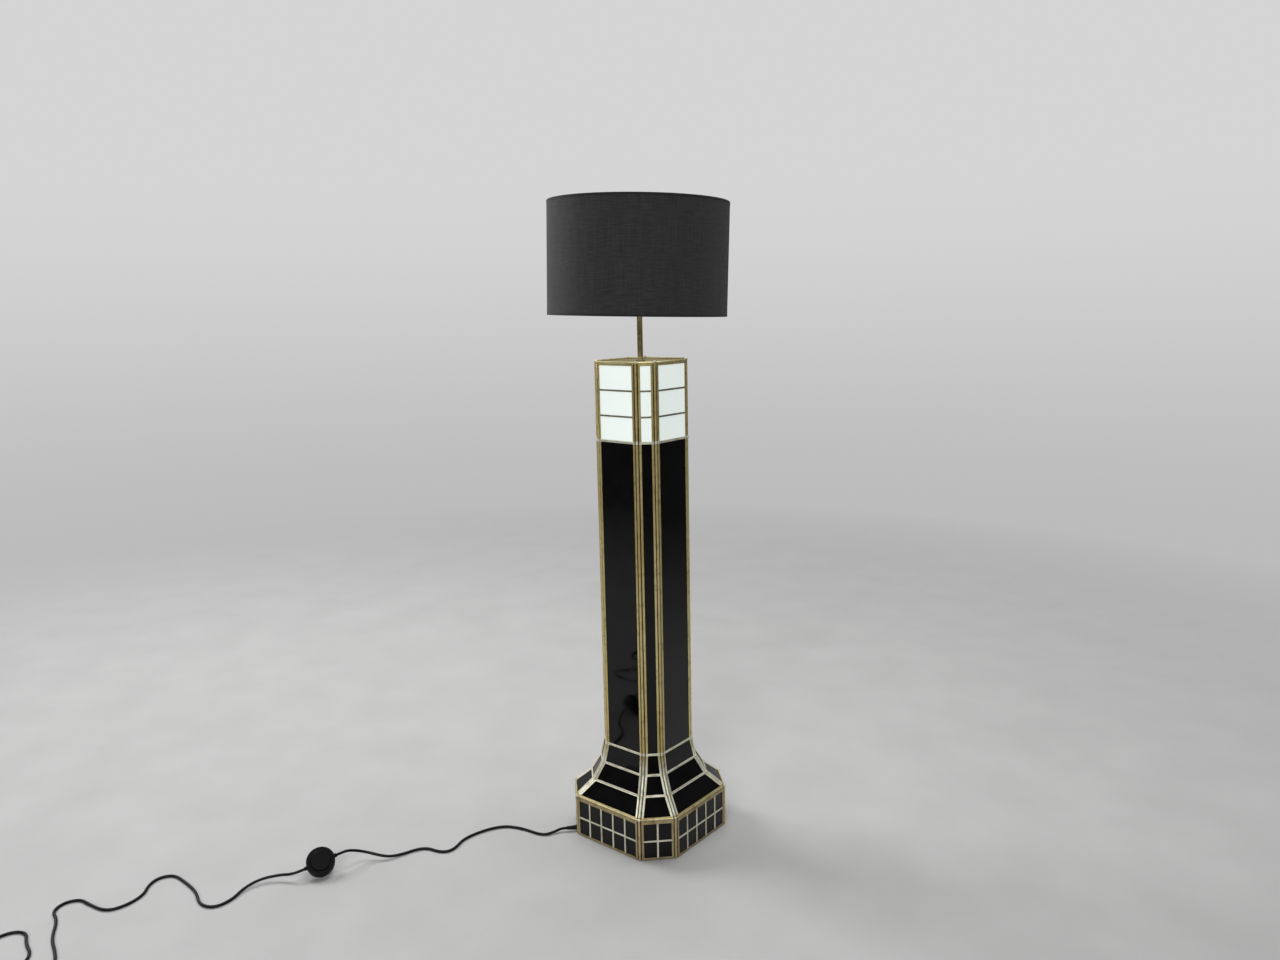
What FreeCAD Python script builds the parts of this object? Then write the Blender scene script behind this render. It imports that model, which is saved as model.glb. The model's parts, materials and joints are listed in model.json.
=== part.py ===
import FreeCAD, Part
import math
import os
import Sketcher
from FreeCAD import Placement, Rotation, Vector

# Lantern floor lamp: an octagonal plinth with small tiles, a flared foot in three
# tiers, a black glass column, an opal glass lantern with a hinged front pane, and a
# drum shade on a stem. Millimetres, +Z up, origin under the centre of the plinth.
# Every panel is a grooved came frame with a glass pane held in the groove.

os.makedirs("parts", exist_ok=True)
doc = FreeCAD.newDocument("lantern_floor_lamp")
sheet = doc.addObject("Spreadsheet::Sheet", "dims")

# ---------------------------------------------------------------- sizes

SIZES = {
    # heights of the octagonal rings, from the floor up
    "foot_z": 1.2, "rim_z": 99, "two_z": 133, "one_z": 172.5, "neck_z": 218,
    "opal_z": 942.5, "top_z": 1115,
    # half width across flats and chamfer leg of each ring
    "rim_half": 156.5, "rim_chamfer": 60, "two_half": 119.5, "two_chamfer": 45.5,
    "one_half": 98, "one_chamfer": 35.5, "neck_half": 88.5, "neck_chamfer": 31,
    # cames and glass
    "came_width": 5, "came_depth": 6, "corner_inset": 5.7, "rim_inset": 2.8,
    "skirt_inset": 3.1, "seam": 0.05, "flush": 0, "foot_rail": 5, "band_rail": 8,
    "ring_rail": 3.4, "lip": 2, "lip_slot": 1, "top_rail": 5, "slot_depth": 1.7,
    "slot_height": 3.2, "glass": 3, "edge_gap": 0.2, "glass_mid": 3,
    "tile_bar": 4.2, "tile_pitch": 36, "tile_mid_z": 46, "opal_bar": 4,
    "opal_low_bar_z": 999.4, "opal_high_bar_z": 1056, "bar_groove": 1.2, "bar_grip": 1,
    # corner beads and the angles behind them
    "bead_radius": 2.9, "bead_depth": 3.05, "rim_bead_radius": 1.8,
    "angle_depth": 6.1, "angle_back": 7.3, "angle_leg": 7,
    # opal door in the front face
    "door_inset": 6.2, "door_low_gap": 0.5, "door_high_gap": 0.6, "door_low_rail": 3,
    "door_high_rail": 4.4, "hinge_inset": 6.7, "hinge_proud": 2.1, "knuckle_radius": 1.8,
    "pin_bore": 0.85, "pin_radius": 0.8, "pin_ball": 1.7, "knuckle_length": 14,
    "knuckle_gap": 0.3, "hinge_low_z": 948, "hinge_high_z": 1081, "leaf": 0.8,
    "leaf_reach": 6.2, "door_leaf_reach": 5, "leaf_gap": 0.15,
    "tongue_thick": 1, "tongue_reach": 3.5, "tongue_height": 16, "tongue_inset": 11.1,
    "spring_thick": 0.5, "spring_inset": 9.6, "spring_width": 5.6,
    # flat plates
    "base_thick": 2, "plate_gap": 0.1, "pad_radius": 8, "pad_reach": 150,
    "floor_z": 938, "floor_thick": 2, "wire_hole": 5, "wire_y": 58, "wire_slack": 2.5,
    "top_gap": 0.7, "top_thick": 1.2,
    # stem and its nipple
    "nipple_low_z": 1100, "nipple_top_z": 1240.9, "nipple_radius": 4.9,
    "nipple_bore": 3.75, "thread_bore": 4.95, "stem_radius": 6.25, "stem_bore": 5.2,
    "holder_z": 1226, "washer_radius": 10, "washer_thick": 1.5, "nut_flats": 17,
    "nut_thick": 5,
    # lampholders and bulbs
    "cap_radius": 17, "holder_radius": 19, "shoulder_radius": 22, "shoulder_z": 1261,
    "holder_top_z": 1290, "socket_z": 1263, "socket_radius": 13.5, "lamp_base": 13.2,
    "globe_radius": 30, "globe_z": 1355, "small_holder_radius": 14,
    "small_holder_height": 38, "small_socket_radius": 7.2, "small_base": 6.9,
    "candle_radius": 17.5, "candle_top": 110,
    # shade
    "shade_radius": 200, "shade_low_z": 1216, "shade_top_z": 1461, "shade_wall": 1.5,
    "shade_pivot_z": 1385, "shade_lean": 1.8, "shade_lean_yaw": 39.5,
    "ring_wire": 1.9, "ring_gap": 0.05, "ring_edge": 2.2, "arm_radius": 1.75,
    "plate_radius": 30, "plate_bore": 19.5, "plate_thick": 1.5, "nut_radius": 26,
    "nut_bore": 19.3, "nut_height": 8,
    # wiring inside
    "block_length": 40, "block_width": 18, "block_height": 14, "stem_lead_radius": 2,
    "lead_end_z": 1249.9, "lead_over_z": 1076, "lead_inlet": 62,
    # cord, bushing, foot switch and plug
    "cord_radius": 3.1, "exit_run": 14, "lamp_run": 18, "away_run": 24, "plug_run": 35,
    "exit_inset": 16.5, "exit_z": 8, "bushing_bore": 3.15,
    "bushing_hole": 4.2, "bushing_neck": 4.1, "flange_radius": 6.5, "flange_thick": 2.5,
    "relief_length": 22, "relief_root": 5.2, "relief_tip": 4, "catch_radius": 4.7,
    "catch_depth": 8.6, "catch_thick": 2.4,
    "switch_x": -436, "switch_y": -630, "switch_z": 29.7, "switch_yaw": -30.34,
    "switch_tilt": 45, "collar_turn": 104, "switch_radius": 31, "switch_base_height": 15.7,
    "switch_cover_height": 6.3, "switch_wall": 2.5, "button_hole": 22,
    "button_radius": 21.5, "button_flange": 24, "button_flange_thick": 2,
    "button_proud": 3, "collar_radius": 4.5, "collar_reach": 36,
    "plug_x": -716, "plug_y": -1226, "plug_z": 6.85, "plug_yaw": -35,
    "plug_relief": 20, "plug_tail": 24, "plug_width": 35.3, "plug_length": 32,
    "plug_height": 13.7, "pin_length": 19, "pin_size": 2, "pin_spacing": 18.6,
}

# tier: low ring, high ring, insets low/high, rails low/high, slots low/high, corner
TIERS = {
    "plinth": ("foot", "rim", "flush", "rim_inset", "foot_rail", "band_rail",
               "slot_depth", "slot_depth", "corner_inset"),
    "skirt": ("rim", "two", "skirt_inset", "seam", "lip", "lip",
              "lip_slot", "lip_slot", "corner_inset"),
    "bell": ("two", "one", "seam", "seam", "ring_rail", "lip",
             "slot_depth", "lip_slot", "corner_inset"),
    "collar": ("one", "neck", "seam", "seam", "ring_rail", "lip",
               "slot_depth", "lip_slot", "corner_inset"),
    "column": ("neck", "opal", "seam", "seam", "ring_rail", "lip",
               "slot_depth", "lip_slot", "corner_inset"),
    "lantern": ("opal", "top", "seam", "flush", "ring_rail", "top_rail",
                "slot_depth", "slot_depth", "corner_inset"),
    "door": ("opal", "top", "door_low_gap", "door_high_gap", "door_low_rail",
             "door_high_rail", "slot_depth", "slot_depth", "door_inset"),
}
FACE_ORDER = ("front", "front_right", "right", "back_right",
              "back", "back_left", "left", "front_left")
FACES = {face: 45 * index for index, face in enumerate(FACE_ORDER)}
WIDE = ("front", "right", "back", "left")
NARROW = ("front_right", "back_right", "back_left", "front_left")

cell_row = 0


def put(alias, value):
    """Write one value or formula into the sheet under a word alias."""
    global cell_row
    cell_row += 1
    sheet.set("A%d" % cell_row, alias)
    sheet.set("B%d" % cell_row, str(value))
    sheet.setAlias("B%d" % cell_row, alias)


for alias, value in SIZES.items():
    put(alias, value)
for ring, source in (("foot", "rim"), ("opal", "neck"), ("top", "neck")):
    put(ring + "_half", "=%s_half" % source)
    put(ring + "_chamfer", "=%s_chamfer" % source)


def face_reach(ring, kind):
    """Distance of a wide or narrow face from the axis at a ring."""
    if kind == "wide":
        return ring + "_half"
    return "(2 * %s_half - %s_chamfer) / sqrt(2)" % (ring, ring)


def face_half_width(ring, kind):
    """Half the width of a wide or narrow face at a ring."""
    if kind == "wide":
        return "(%s_half - %s_chamfer)" % (ring, ring)
    return "(%s_chamfer / sqrt(2))" % ring


# derived sizes of every tier's wide and narrow panel
for tier, spec in TIERS.items():
    low, high, inset_low, inset_high = spec[:4]
    for kind in ("wide", "narrow"):
        key = tier + "_" + kind
        rise = "(%s_z - %s_z)" % (high, low)
        lean = "(%s - %s)" % (face_reach(low, kind), face_reach(high, kind))
        put(key + "_reach", "=" + face_reach(low, kind))
        put(key + "_tilt", "=atan(%s / %s) / 1 deg" % (lean, rise))
        put(key + "_slant", "=sqrt(%s ^ 2 + %s ^ 2)" % (lean, rise))
        put(key + "_start", "=" + inset_low)
        put(key + "_end", "=%s_slant - %s" % (key, inset_high))
        grow = "(%s - %s)" % (face_half_width(high, kind), face_half_width(low, kind))
        for end in ("start", "end"):
            put(key + "_half_" + end, "=%s + %s * %s_%s / %s_slant - %s"
                % (face_half_width(low, kind), grow, key, end, key, spec[8]))

doc.recompute()


def size(alias):
    return float(sheet.get(alias))


def dims(text):
    """Prefix every alias in an expression with the sheet's name."""
    words = []
    word = ""
    for mark in text + " ":
        if mark.isalnum() or mark == "_":
            word += mark
            continue
        if word and (word in ALIASES):
            word = "dims." + word
        words.append(word + mark)
        word = ""
    return "".join(words).strip()


ALIASES = set(SIZES)
for row in range(1, cell_row + 1):
    ALIASES.add(sheet.getAlias("B%d" % row))

# ---------------------------------------------------------------- helpers

nodes = []


def keep(obj, node):
    """Register an object as a finished node of the lamp."""
    obj.Label = node
    nodes.append((node, obj))
    return obj


def bind(obj, **expressions):
    for name, text in expressions.items():
        obj.setExpression(name, dims(text))
    return obj


def bind_place(obj, x="0", y="0", z="0", yaw="0", pitch="0", roll="0"):
    text = "create(<<placement>>; create(<<vector>>; %s; %s; %s); create(<<rotation>>; %s; %s; %s))"
    obj.setExpression("Placement", dims(text % (x, y, z, yaw, pitch, roll)))
    return obj


def bind_about(obj, turn, x="0", y="0", z="0", yaw="0", pitch="0", roll="0"):
    """Place an object locally, then turn it about the lamp's axis."""
    text = ("create(<<placement>>; create(<<vector>>; 0; 0; 0); create(<<rotation>>; %s; 0; 0)) * "
            "create(<<placement>>; create(<<vector>>; %s; %s; %s); create(<<rotation>>; %s; %s; %s))")
    obj.setExpression("Placement", dims(text % (turn, x, y, z, yaw, pitch, roll)))
    return obj


def box(name, x0, x1, y0, y1, z0, z1):
    """Box between bound corner coordinates."""
    obj = doc.addObject("Part::Box", name)
    bind(obj, Length="%s - (%s)" % (x1, x0), Width="%s - (%s)" % (y1, y0),
         Height="%s - (%s)" % (z1, z0))
    return bind_place(obj, x0, y0, z0)


def rod(name, radius, z0, z1, x="0", y="0"):
    obj = doc.addObject("Part::Cylinder", name)
    bind(obj, Radius=radius, Height="%s - (%s)" % (z1, z0))
    return bind_place(obj, x, y, z0)


def fuse(name, shapes):
    obj = doc.addObject("Part::MultiFuse", name)
    obj.Shapes = shapes
    return obj


def cut(name, base, tool):
    obj = doc.addObject("Part::Cut", name)
    obj.Base = base
    obj.Tool = tool
    return obj


def group(name, members):
    obj = doc.addObject("Part::Compound", name)
    obj.Links = members
    return obj


def outline_sketch(body, plane_role, points, circles=()):
    """Closed polygon with every corner bound to the sheet, plus bound circles."""
    plane = [item for item in body.Origin.OriginFeatures if item.Role == plane_role][0]
    sketch = body.newObject("Sketcher::SketchObject", body.Name + "_outline")
    sketch.AttachmentSupport = [(plane, "")]
    sketch.MapMode = "FlatFace"
    value = [(read(px), read(py)) for px, py in points]
    count = len(points)
    for i in range(count):
        ax, ay = value[i]
        bx, by = value[(i + 1) % count]
        sketch.addGeometry(Part.LineSegment(Vector(ax, ay, 0), Vector(bx, by, 0)), False)
    for i in range(count):
        sketch.addConstraint(Sketcher.Constraint("Coincident", i, 2, (i + 1) % count, 1))
    for i, point in enumerate(points):
        for kind, axis, text in (("DistanceX", -2, point[0]), ("DistanceY", -1, point[1])):
            if text == "0":
                sketch.addConstraint(Sketcher.Constraint("PointOnObject", i, 1, axis))
                continue
            at = sketch.addConstraint(Sketcher.Constraint(kind, -1, 1, i, 1, read(text)))
            sketch.setExpression("Constraints[%d]" % at, dims(text))
    for j, (cx, cy, radius) in enumerate(circles):
        centre = Vector(read(cx), read(cy), 0)
        sketch.addGeometry(Part.Circle(centre, Vector(0, 0, 1), read(radius)), False)
        for kind, axis, text in (("DistanceX", -2, cx), ("DistanceY", -1, cy)):
            if text == "0":
                sketch.addConstraint(Sketcher.Constraint("PointOnObject", count + j, 3, axis))
                continue
            at = sketch.addConstraint(
                Sketcher.Constraint(kind, -1, 1, count + j, 3, read(text)))
            sketch.setExpression("Constraints[%d]" % at, dims(text))
        at = sketch.addConstraint(Sketcher.Constraint("Radius", count + j, read(radius)))
        sketch.setExpression("Constraints[%d]" % at, dims(radius))
    return sketch


probe = doc.addObject("App::FeaturePython", "probe")


def read(text):
    """Value of a bound expression at the sheet's present values."""
    return float(probe.evalExpression(dims(text)))


def turned(name, points):
    """Body turned about its own Z axis from (radius, height) corners."""
    body = doc.addObject("PartDesign::Body", name)
    sketch = outline_sketch(body, "XZ_Plane", points)
    turn = body.newObject("PartDesign::Revolution", name + "_turn")
    turn.Profile = sketch
    turn.ReferenceAxis = (sketch, ["V_Axis"])
    turn.Angle = 360
    sketch.Visibility = False
    return body


def padded(name, points, circles, thick):
    """Body raised from a flat outline with round holes."""
    body = doc.addObject("PartDesign::Body", name)
    sketch = outline_sketch(body, "XY_Plane", points, circles)
    pad = body.newObject("PartDesign::Pad", name + "_pad")
    pad.Profile = sketch
    pad.setExpression("Length", dims(thick))
    sketch.Visibility = False
    return body


def octagon(half, cham):
    """Corners of a square with chamfered corners, counter-clockwise."""
    flat = "(%s - %s)" % (half, cham)
    half = "(%s)" % half
    return [(flat, "-" + half), (half, "-" + flat), (half, flat), (flat, half),
            ("-" + flat, half), ("-" + half, flat), ("-" + half, "-" + flat),
            ("-" + flat, "-" + half)]


# ---------------------------------------------------------------- panels

def wedge(name, key, low, high, side, depth0, depth1):
    """Panel-shaped slab: insets from the panel's own edges, depths from its outer face."""
    obj = doc.addObject("Part::Wedge", name)
    height = "(%s_end - %s_start)" % (key, key)
    taper = "(%s_half_end - %s_half_start) / %s" % (key, key, height)
    half_low = "(%s_half_start + %s * (%s) - (%s))" % (key, taper, low, side)
    half_high = "(%s_half_end - %s * (%s) - (%s))" % (key, taper, high, side)
    bind(obj, Xmin="-" + half_low, Xmax=half_low, X2min="-" + half_high, X2max=half_high,
         Ymin="%s_start + %s" % (key, low), Ymax="%s_end - (%s)" % (key, high),
         Zmin="-(%s)" % depth1, Z2min="-(%s)" % depth1,
         Zmax="-(%s)" % depth0, Z2max="-(%s)" % depth0)
    return obj


def stand(obj, tier, face):
    """Stand a panel-local object up on its face of the octagon."""
    key = "%s_%s" % (tier, "wide" if face in WIDE else "narrow")
    ring = TIERS[tier][0]
    return bind_about(obj, str(FACES[face]), "0", "-%s_reach" % key, ring + "_z",
                      roll="90 - %s_tilt" % key)


SLOT_OUT = "glass_mid - slot_height / 2"
SLOT_IN = "glass_mid + slot_height / 2"
PANE_OUT = "glass_mid - glass / 2"
PANE_IN = "glass_mid + glass / 2"


def frame_shape(tier, kind):
    """Grooved came frame in panel coordinates."""
    rail_low, rail_high, slot_low, slot_high = TIERS[tier][4:8]
    key = tier + "_" + kind
    outer = wedge(key + "_blank", key, "flush", "flush", "flush", "flush", "came_depth")
    light = wedge(key + "_light", key, rail_low, rail_high, "came_width", "-1",
                  "came_depth + 1")
    slot = wedge(key + "_slot", key, "%s - %s" % (rail_low, slot_low),
                 "%s - %s" % (rail_high, slot_high), "came_width - slot_depth",
                 SLOT_OUT, SLOT_IN)
    return cut(key + "_came", outer, fuse(key + "_void", [light, slot]))


def pane_shape(tier, kind):
    """Whole pane reaching into the groove of its frame."""
    rail_low, rail_high, slot_low, slot_high = TIERS[tier][4:8]
    return wedge(tier + "_" + kind + "_glass", tier + "_" + kind,
                 "%s - %s + edge_gap" % (rail_low, slot_low),
                 "%s - %s + edge_gap" % (rail_high, slot_high),
                 "came_width - slot_depth + edge_gap", PANE_OUT, PANE_IN)


def cells(tier, kind, uprights, levels, bar):
    """Clear cells between bars of an upright panel as lists of edge expressions."""
    key = tier + "_" + kind
    side = "(%s_half_start - came_width)" % key
    foot = "(%s_start + %s)" % (key, TIERS[tier][4])
    head = "(%s_end - %s)" % (key, TIERS[tier][5])
    across = ["-" + side]
    for at in uprights:
        across += ["%s - %s / 2" % (at, bar), "%s + %s / 2" % (at, bar)]
    across.append(side)
    upward = [foot]
    for at in levels:
        upward += ["%s - %s / 2" % (at, bar), "%s + %s / 2" % (at, bar)]
    upward.append(head)
    columns = list(zip(across[0::2], across[1::2]))
    rows = list(zip(upward[0::2], upward[1::2]))
    return columns, rows


def grow_box(name, column, row, by, depth0, depth1):
    return box(name, "%s - %s" % (column[0], by), "%s + %s" % (column[1], by),
               "%s - %s" % (row[0], by), "%s + %s" % (row[1], by),
               "-(%s)" % depth1, "-(%s)" % depth0)


def lattice(tier, kind, uprights, levels, bar):
    """Glazing bars and the separate tiles of an upright panel."""
    key = tier + "_" + kind
    columns, rows = cells(tier, kind, uprights, levels, bar)
    bars = []
    for i, at in enumerate(uprights):
        bars.append(box("%s_upright_%d" % (key, i), "%s - %s / 2" % (at, bar),
                        "%s + %s / 2" % (at, bar), rows[0][0], rows[-1][1],
                        "-came_depth", "0"))
    for i, at in enumerate(levels):
        bars.append(box("%s_level_%d" % (key, i), columns[0][0], columns[-1][1],
                        "%s - %s / 2" % (at, bar), "%s + %s / 2" % (at, bar),
                        "-came_depth", "0"))
    grooves = []
    tiles = []
    for i, column in enumerate(columns):
        for j, row in enumerate(rows):
            tag = "%s_%d_%d" % (key, i, j)
            grooves.append(grow_box(tag + "_groove", column, row, "bar_groove",
                                    SLOT_OUT, SLOT_IN))
            tiles.append(grow_box(tag + "_tile", column, row, "bar_grip",
                                  PANE_OUT, PANE_IN))
    solid = cut(key + "_bars", fuse(key + "_bar_blank", bars),
                fuse(key + "_grooves", grooves))
    return solid, group(key + "_tiles", tiles)


def stood(name, proto, tier, face):
    return stand(group("%s_%s" % (name, face), [proto]), tier, face)


tile_uprights = {"wide": ["(-1.5 * tile_pitch)", "(-0.5 * tile_pitch)",
                          "(0.5 * tile_pitch)", "(1.5 * tile_pitch)"],
                 "narrow": ["0"]}
opal_levels = ["(opal_low_bar_z - opal_z)", "(opal_high_bar_z - opal_z)"]

# plinth: frames, glazing bars and black tiles, with the cord hole in one narrow face
plinth = {}
for kind in ("wide", "narrow"):
    bars, tiles = lattice("plinth", kind, tile_uprights[kind],
                          ["(tile_mid_z - foot_z)"], "tile_bar")
    plinth[kind] = (frame_shape("plinth", kind), bars, tiles)
exit_local = "(plinth_narrow_half_start + corner_inset - exit_inset)"
hole = rod("cord_hole", "bushing_hole", "-came_depth - 1", "1", exit_local,
           "exit_z - foot_z")
frames, bar_sets, tile_sets = [], [], []
for face in FACES:
    kind = "wide" if face in WIDE else "narrow"
    frame, bars, tiles = plinth[kind]
    if face == "front_left":
        frames.append(stand(cut("plinth_frame_cord", frame, hole), "plinth", face))
        tile_sets.append(stand(cut("plinth_tiles_cord", tiles, hole), "plinth", face))
    else:
        frames.append(stood("plinth_frame", frame, "plinth", face))
        tile_sets.append(stood("plinth_tile", tiles, "plinth", face))
    bar_sets.append(stood("plinth_bar", bars, "plinth", face))
keep(group("plinth_frame_set", frames), "plinth_frames")
keep(group("plinth_bar_set", bar_sets), "plinth_glazing_bars")
keep(group("plinth_tile_set", tile_sets), "plinth_tiles")

# three tiers of the flare
for tier, node in (("skirt", "flare_lower"), ("bell", "flare_middle"),
                   ("collar", "flare_upper")):
    frame = {kind: frame_shape(tier, kind) for kind in ("wide", "narrow")}
    pane = {kind: pane_shape(tier, kind) for kind in ("wide", "narrow")}
    for proto, suffix in ((frame, "frames"), (pane, "panes")):
        members = []
        for face in FACES:
            kind = "wide" if face in WIDE else "narrow"
            members.append(stood(tier + "_" + suffix, proto[kind], tier, face))
        keep(group(tier + "_" + suffix + "_set", members), node + "_" + suffix)

# column
for kind, faces in (("wide", WIDE), ("narrow", NARROW)):
    frame = frame_shape("column", kind)
    keep(group("column_%s_frame_set" % kind,
               [stood("column_frame", frame, "column", face) for face in faces]),
         "column_frames_" + kind)
    pane = pane_shape("column", kind)
    keep(group("column_%s_pane_set" % kind,
               [stood("column_pane", pane, "column", face) for face in faces]),
         "column_panes_" + kind)

# lantern: three fixed wide faces, four narrow faces and the door
lantern_faces = {"wide": ("right", "back", "left"), "narrow": NARROW}
bar_members = []
for kind, faces in lantern_faces.items():
    frame = frame_shape("lantern", kind)
    bars, panes = lattice("lantern", kind, [], opal_levels, "opal_bar")
    keep(group("lantern_%s_frame_set" % kind,
               [stood("lantern_frame", frame, "lantern", face) for face in faces]),
         "lantern_frames_" + kind)
    keep(group("lantern_%s_pane_set" % kind,
               [stood("lantern_pane", panes, "lantern", face) for face in faces]),
         "opal_panes_" + kind)
    bar_members += [stood("lantern_bar", bars, "lantern", face) for face in faces]
keep(group("lantern_bar_set", bar_members), "lantern_bars")
door_bars, door_panes = lattice("door", "wide", [], opal_levels, "opal_bar")
keep(stood("door_frame", frame_shape("door", "wide"), "door", "front"), "door_frame")
keep(stood("door_bar", door_bars, "door", "front"), "door_bars")
keep(stood("door_pane", door_panes, "door", "front"), "door_panes")

# ---------------------------------------------------------------- corners

def tilt_of(tier, kind):
    return math.radians(size("%s_%s_tilt" % (tier, kind)))


def corner_point(reach, first, second):
    """Where two neighbouring face lines at given reaches cross, seen from above."""
    a = math.radians(FACES[first] - 90)
    b = math.radians(FACES[second] - 90)
    spread = math.sin(b - a)
    x = (reach[0] * math.sin(b) - reach[1] * math.sin(a)) / spread
    y = (reach[1] * math.cos(a) - reach[0] * math.cos(b)) / spread
    return x, y


def kind_of(face):
    return "wide" if face in WIDE else "narrow"


def level_reach(tier, kind, z):
    """Reach of a face of a tier at a height."""
    key = "%s_%s" % (tier, kind)
    low = size(TIERS[tier][0] + "_z")
    return size(key + "_reach") - (z - low) * math.tan(tilt_of(tier, kind))


def neighbours():
    order = list(FACES)
    return [(order[i], order[(i + 1) % len(order)]) for i in range(len(order))]


def angle_section(tier, pair, z):
    """L-shaped section behind two neighbouring panels at a height."""
    outer, inner = [], []
    for face in pair:
        kind = kind_of(face)
        slope = math.cos(tilt_of(tier, kind))
        reach = level_reach(tier, kind, z)
        outer.append(reach - size("angle_depth") / slope)
        inner.append(reach - size("angle_back") / slope)
    apex = Vector(*corner_point(outer, *pair), z)
    heel = Vector(*corner_point(inner, *pair), z)
    leg = size("angle_leg")
    ring = []
    for index, face, back in ((0, pair[0], -1), (1, pair[1], 1)):
        turn = math.radians(FACES[face])
        along = Vector(math.cos(turn), math.sin(turn), 0) * (back * leg)
        inward = Vector(-math.sin(turn), math.cos(turn), 0) * (outer[index] - inner[index])
        ring.append((apex + along, apex + along + inward))
    corners = [ring[0][0], apex, ring[1][0], ring[1][1], heel, ring[0][1]]
    return Part.makePolygon(corners + [corners[0]])


def angle_strip(tier, pair, z0, z1):
    loft = Part.makeLoft([angle_section(tier, pair, z0), angle_section(tier, pair, z1)],
                         True, True)
    return loft


def shape_node(node, shape):
    """Node whose form is worked out from the sheet's values."""
    obj = doc.addObject("Part::Feature", node + "_form")
    obj.Shape = shape
    obj.Placement = Placement()
    return keep(obj, node)


base_top = size("foot_z") + size("base_thick")
seam = size("seam")
plinth_angles = [angle_strip("plinth", pair, base_top + seam,
                             size("rim_z") - size("rim_inset"))
                 for pair in neighbours()]
shape_node("plinth_corner_angles", Part.makeCompound(plinth_angles))
flare_angles = []
for tier in ("skirt", "bell", "collar"):
    z0 = size(TIERS[tier][0] + "_z") + seam
    z1 = size(TIERS[tier][1] + "_z") - seam
    if tier == "skirt":
        z0 = z0 + size("ring_rail")
    flare_angles += [angle_strip(tier, pair, z0, z1) for pair in neighbours()]
shape_node("flare_corner_angles", Part.makeCompound(flare_angles))
column_angles = [angle_strip("column", pair, size("neck_z") + seam, size("top_z") - seam)
                 for pair in neighbours()]
shape_node("column_corner_angles", Part.makeCompound(column_angles))


def bead_vertex(pair, below, above, ring):
    """Centre of a corner bead where two tiers meet at a ring."""
    reach, drop = [], 0.0
    for face in pair:
        kind = kind_of(face)
        low = tilt_of(below, kind)
        high = tilt_of(above, kind)
        middle = (low + high) / 2
        shift = size("bead_depth") / math.cos((high - low) / 2)
        key = "%s_%s" % (above, kind)
        base = size(key + "_reach")
        reach.append(base - shift * math.cos(middle))
        drop += shift * math.sin(middle) / 2
    x, y = corner_point(reach, *pair)
    return Vector(x, y, size(ring + "_z") - drop)


def bent_bead(pair):
    """Corner bead following the flare from the plinth's foot to the neck."""
    low = bead_vertex(pair, "plinth", "plinth", "foot")
    points = [low]
    for below, above, ring in (("plinth", "skirt", "rim"), ("skirt", "bell", "two"),
                               ("bell", "collar", "one"), ("collar", "column", "neck")):
        points.append(bead_vertex(pair, below, above, ring))
    spine = Part.makePolygon(points)
    ring = Part.Wire([Part.makeCircle(size("bead_radius"), low, Vector(0, 0, 1))])
    pipe = Part.BRepOffsetAPI.MakePipeShell(spine)
    pipe.setTransitionMode(1)
    pipe.add(ring, False, False)
    pipe.build()
    pipe.makeSolid()
    return pipe.shape()


shape_node("base_corner_beads", Part.makeCompound([bent_bead(pair) for pair in neighbours()]))

# straight beads of the column and of the rim
bead_members = []
for index, pair in enumerate(neighbours()):
    across = "(neck_half - neck_chamfer - bead_depth * tan(22.5 deg))"
    reach = "sqrt((neck_half - bead_depth) ^ 2 + %s ^ 2)" % across
    side = "(atan(%s / (neck_half - bead_depth)) / 1 deg)" % across
    base = 90 * ((index + 1) // 2)
    sign = "+" if index % 2 == 0 else "-"
    bead = doc.addObject("Part::Cylinder", "column_bead_%d" % index)
    bind(bead, Radius="bead_radius", Height="top_z - neck_z")
    bind_about(bead, "%d %s %s" % (base, sign, side), "0", "-" + reach, "neck_z")
    bead_members.append(bead)
keep(group("column_bead_set", bead_members), "column_corner_beads")

for kind in ("wide", "narrow"):
    key = "skirt_" + kind
    edge = "(%s_reach - skirt_inset * sin(%s_tilt * 1 deg))" % (key, key)
    edge_z = "(rim_z + skirt_inset * cos(%s_tilt * 1 deg))" % key
    bead_z = "(rim_z - rim_inset + rim_bead_radius + 0.02)"
    put(key + "_bead_reach",
        "=%s + (rim_bead_radius + 0.02 + (%s - %s) * cos(%s_tilt * 1 deg)) / sin(%s_tilt * 1 deg)"
        % (edge, bead_z, edge_z, key, key))
    ALIASES.add(key + "_bead_reach")
doc.recompute()
rim_members = []
for face in FACES:
    kind = kind_of(face)
    half = "(plinth_%s_half_start)" % kind
    bead = doc.addObject("Part::Cylinder", "rim_bead_" + face)
    bind(bead, Radius="rim_bead_radius", Height="2 * " + half)
    bind_about(bead, str(FACES[face]), "-" + half, "-skirt_%s_bead_reach" % kind,
               "rim_z - rim_inset + rim_bead_radius + 0.02", pitch="90")
    rim_members.append(bead)
keep(group("rim_bead_set", rim_members), "plinth_rim_beads")

# ---------------------------------------------------------------- plates

base_half = "(rim_half - came_depth - plate_gap)"
base_chamfer = "(rim_chamfer - (came_depth + plate_gap) * (2 - sqrt(2)))"
plate = padded("base", octagon(base_half, base_chamfer), (), "base_thick")
bind_place(plate, z="foot_z")
keep(plate, "base_plate")

pads = []
for index in range(4):
    pad = doc.addObject("Part::Cylinder", "pad_%d" % index)
    bind(pad, Radius="pad_radius", Height="foot_z")
    bind_about(pad, str(45 + 90 * index), "pad_reach")
    pads.append(pad)
keep(group("pad_set", pads), "foot_pads")

floor_half = "(neck_half - angle_back - plate_gap)"
floor_chamfer = "(neck_chamfer - (angle_back + plate_gap) * (2 - sqrt(2)))"
plate = padded("lamp_floor", octagon(floor_half, floor_chamfer),
               [("0", "wire_y - wire_slack", "wire_hole")], "floor_thick")
bind_place(plate, z="floor_z")
keep(plate, "lantern_floor")

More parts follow.
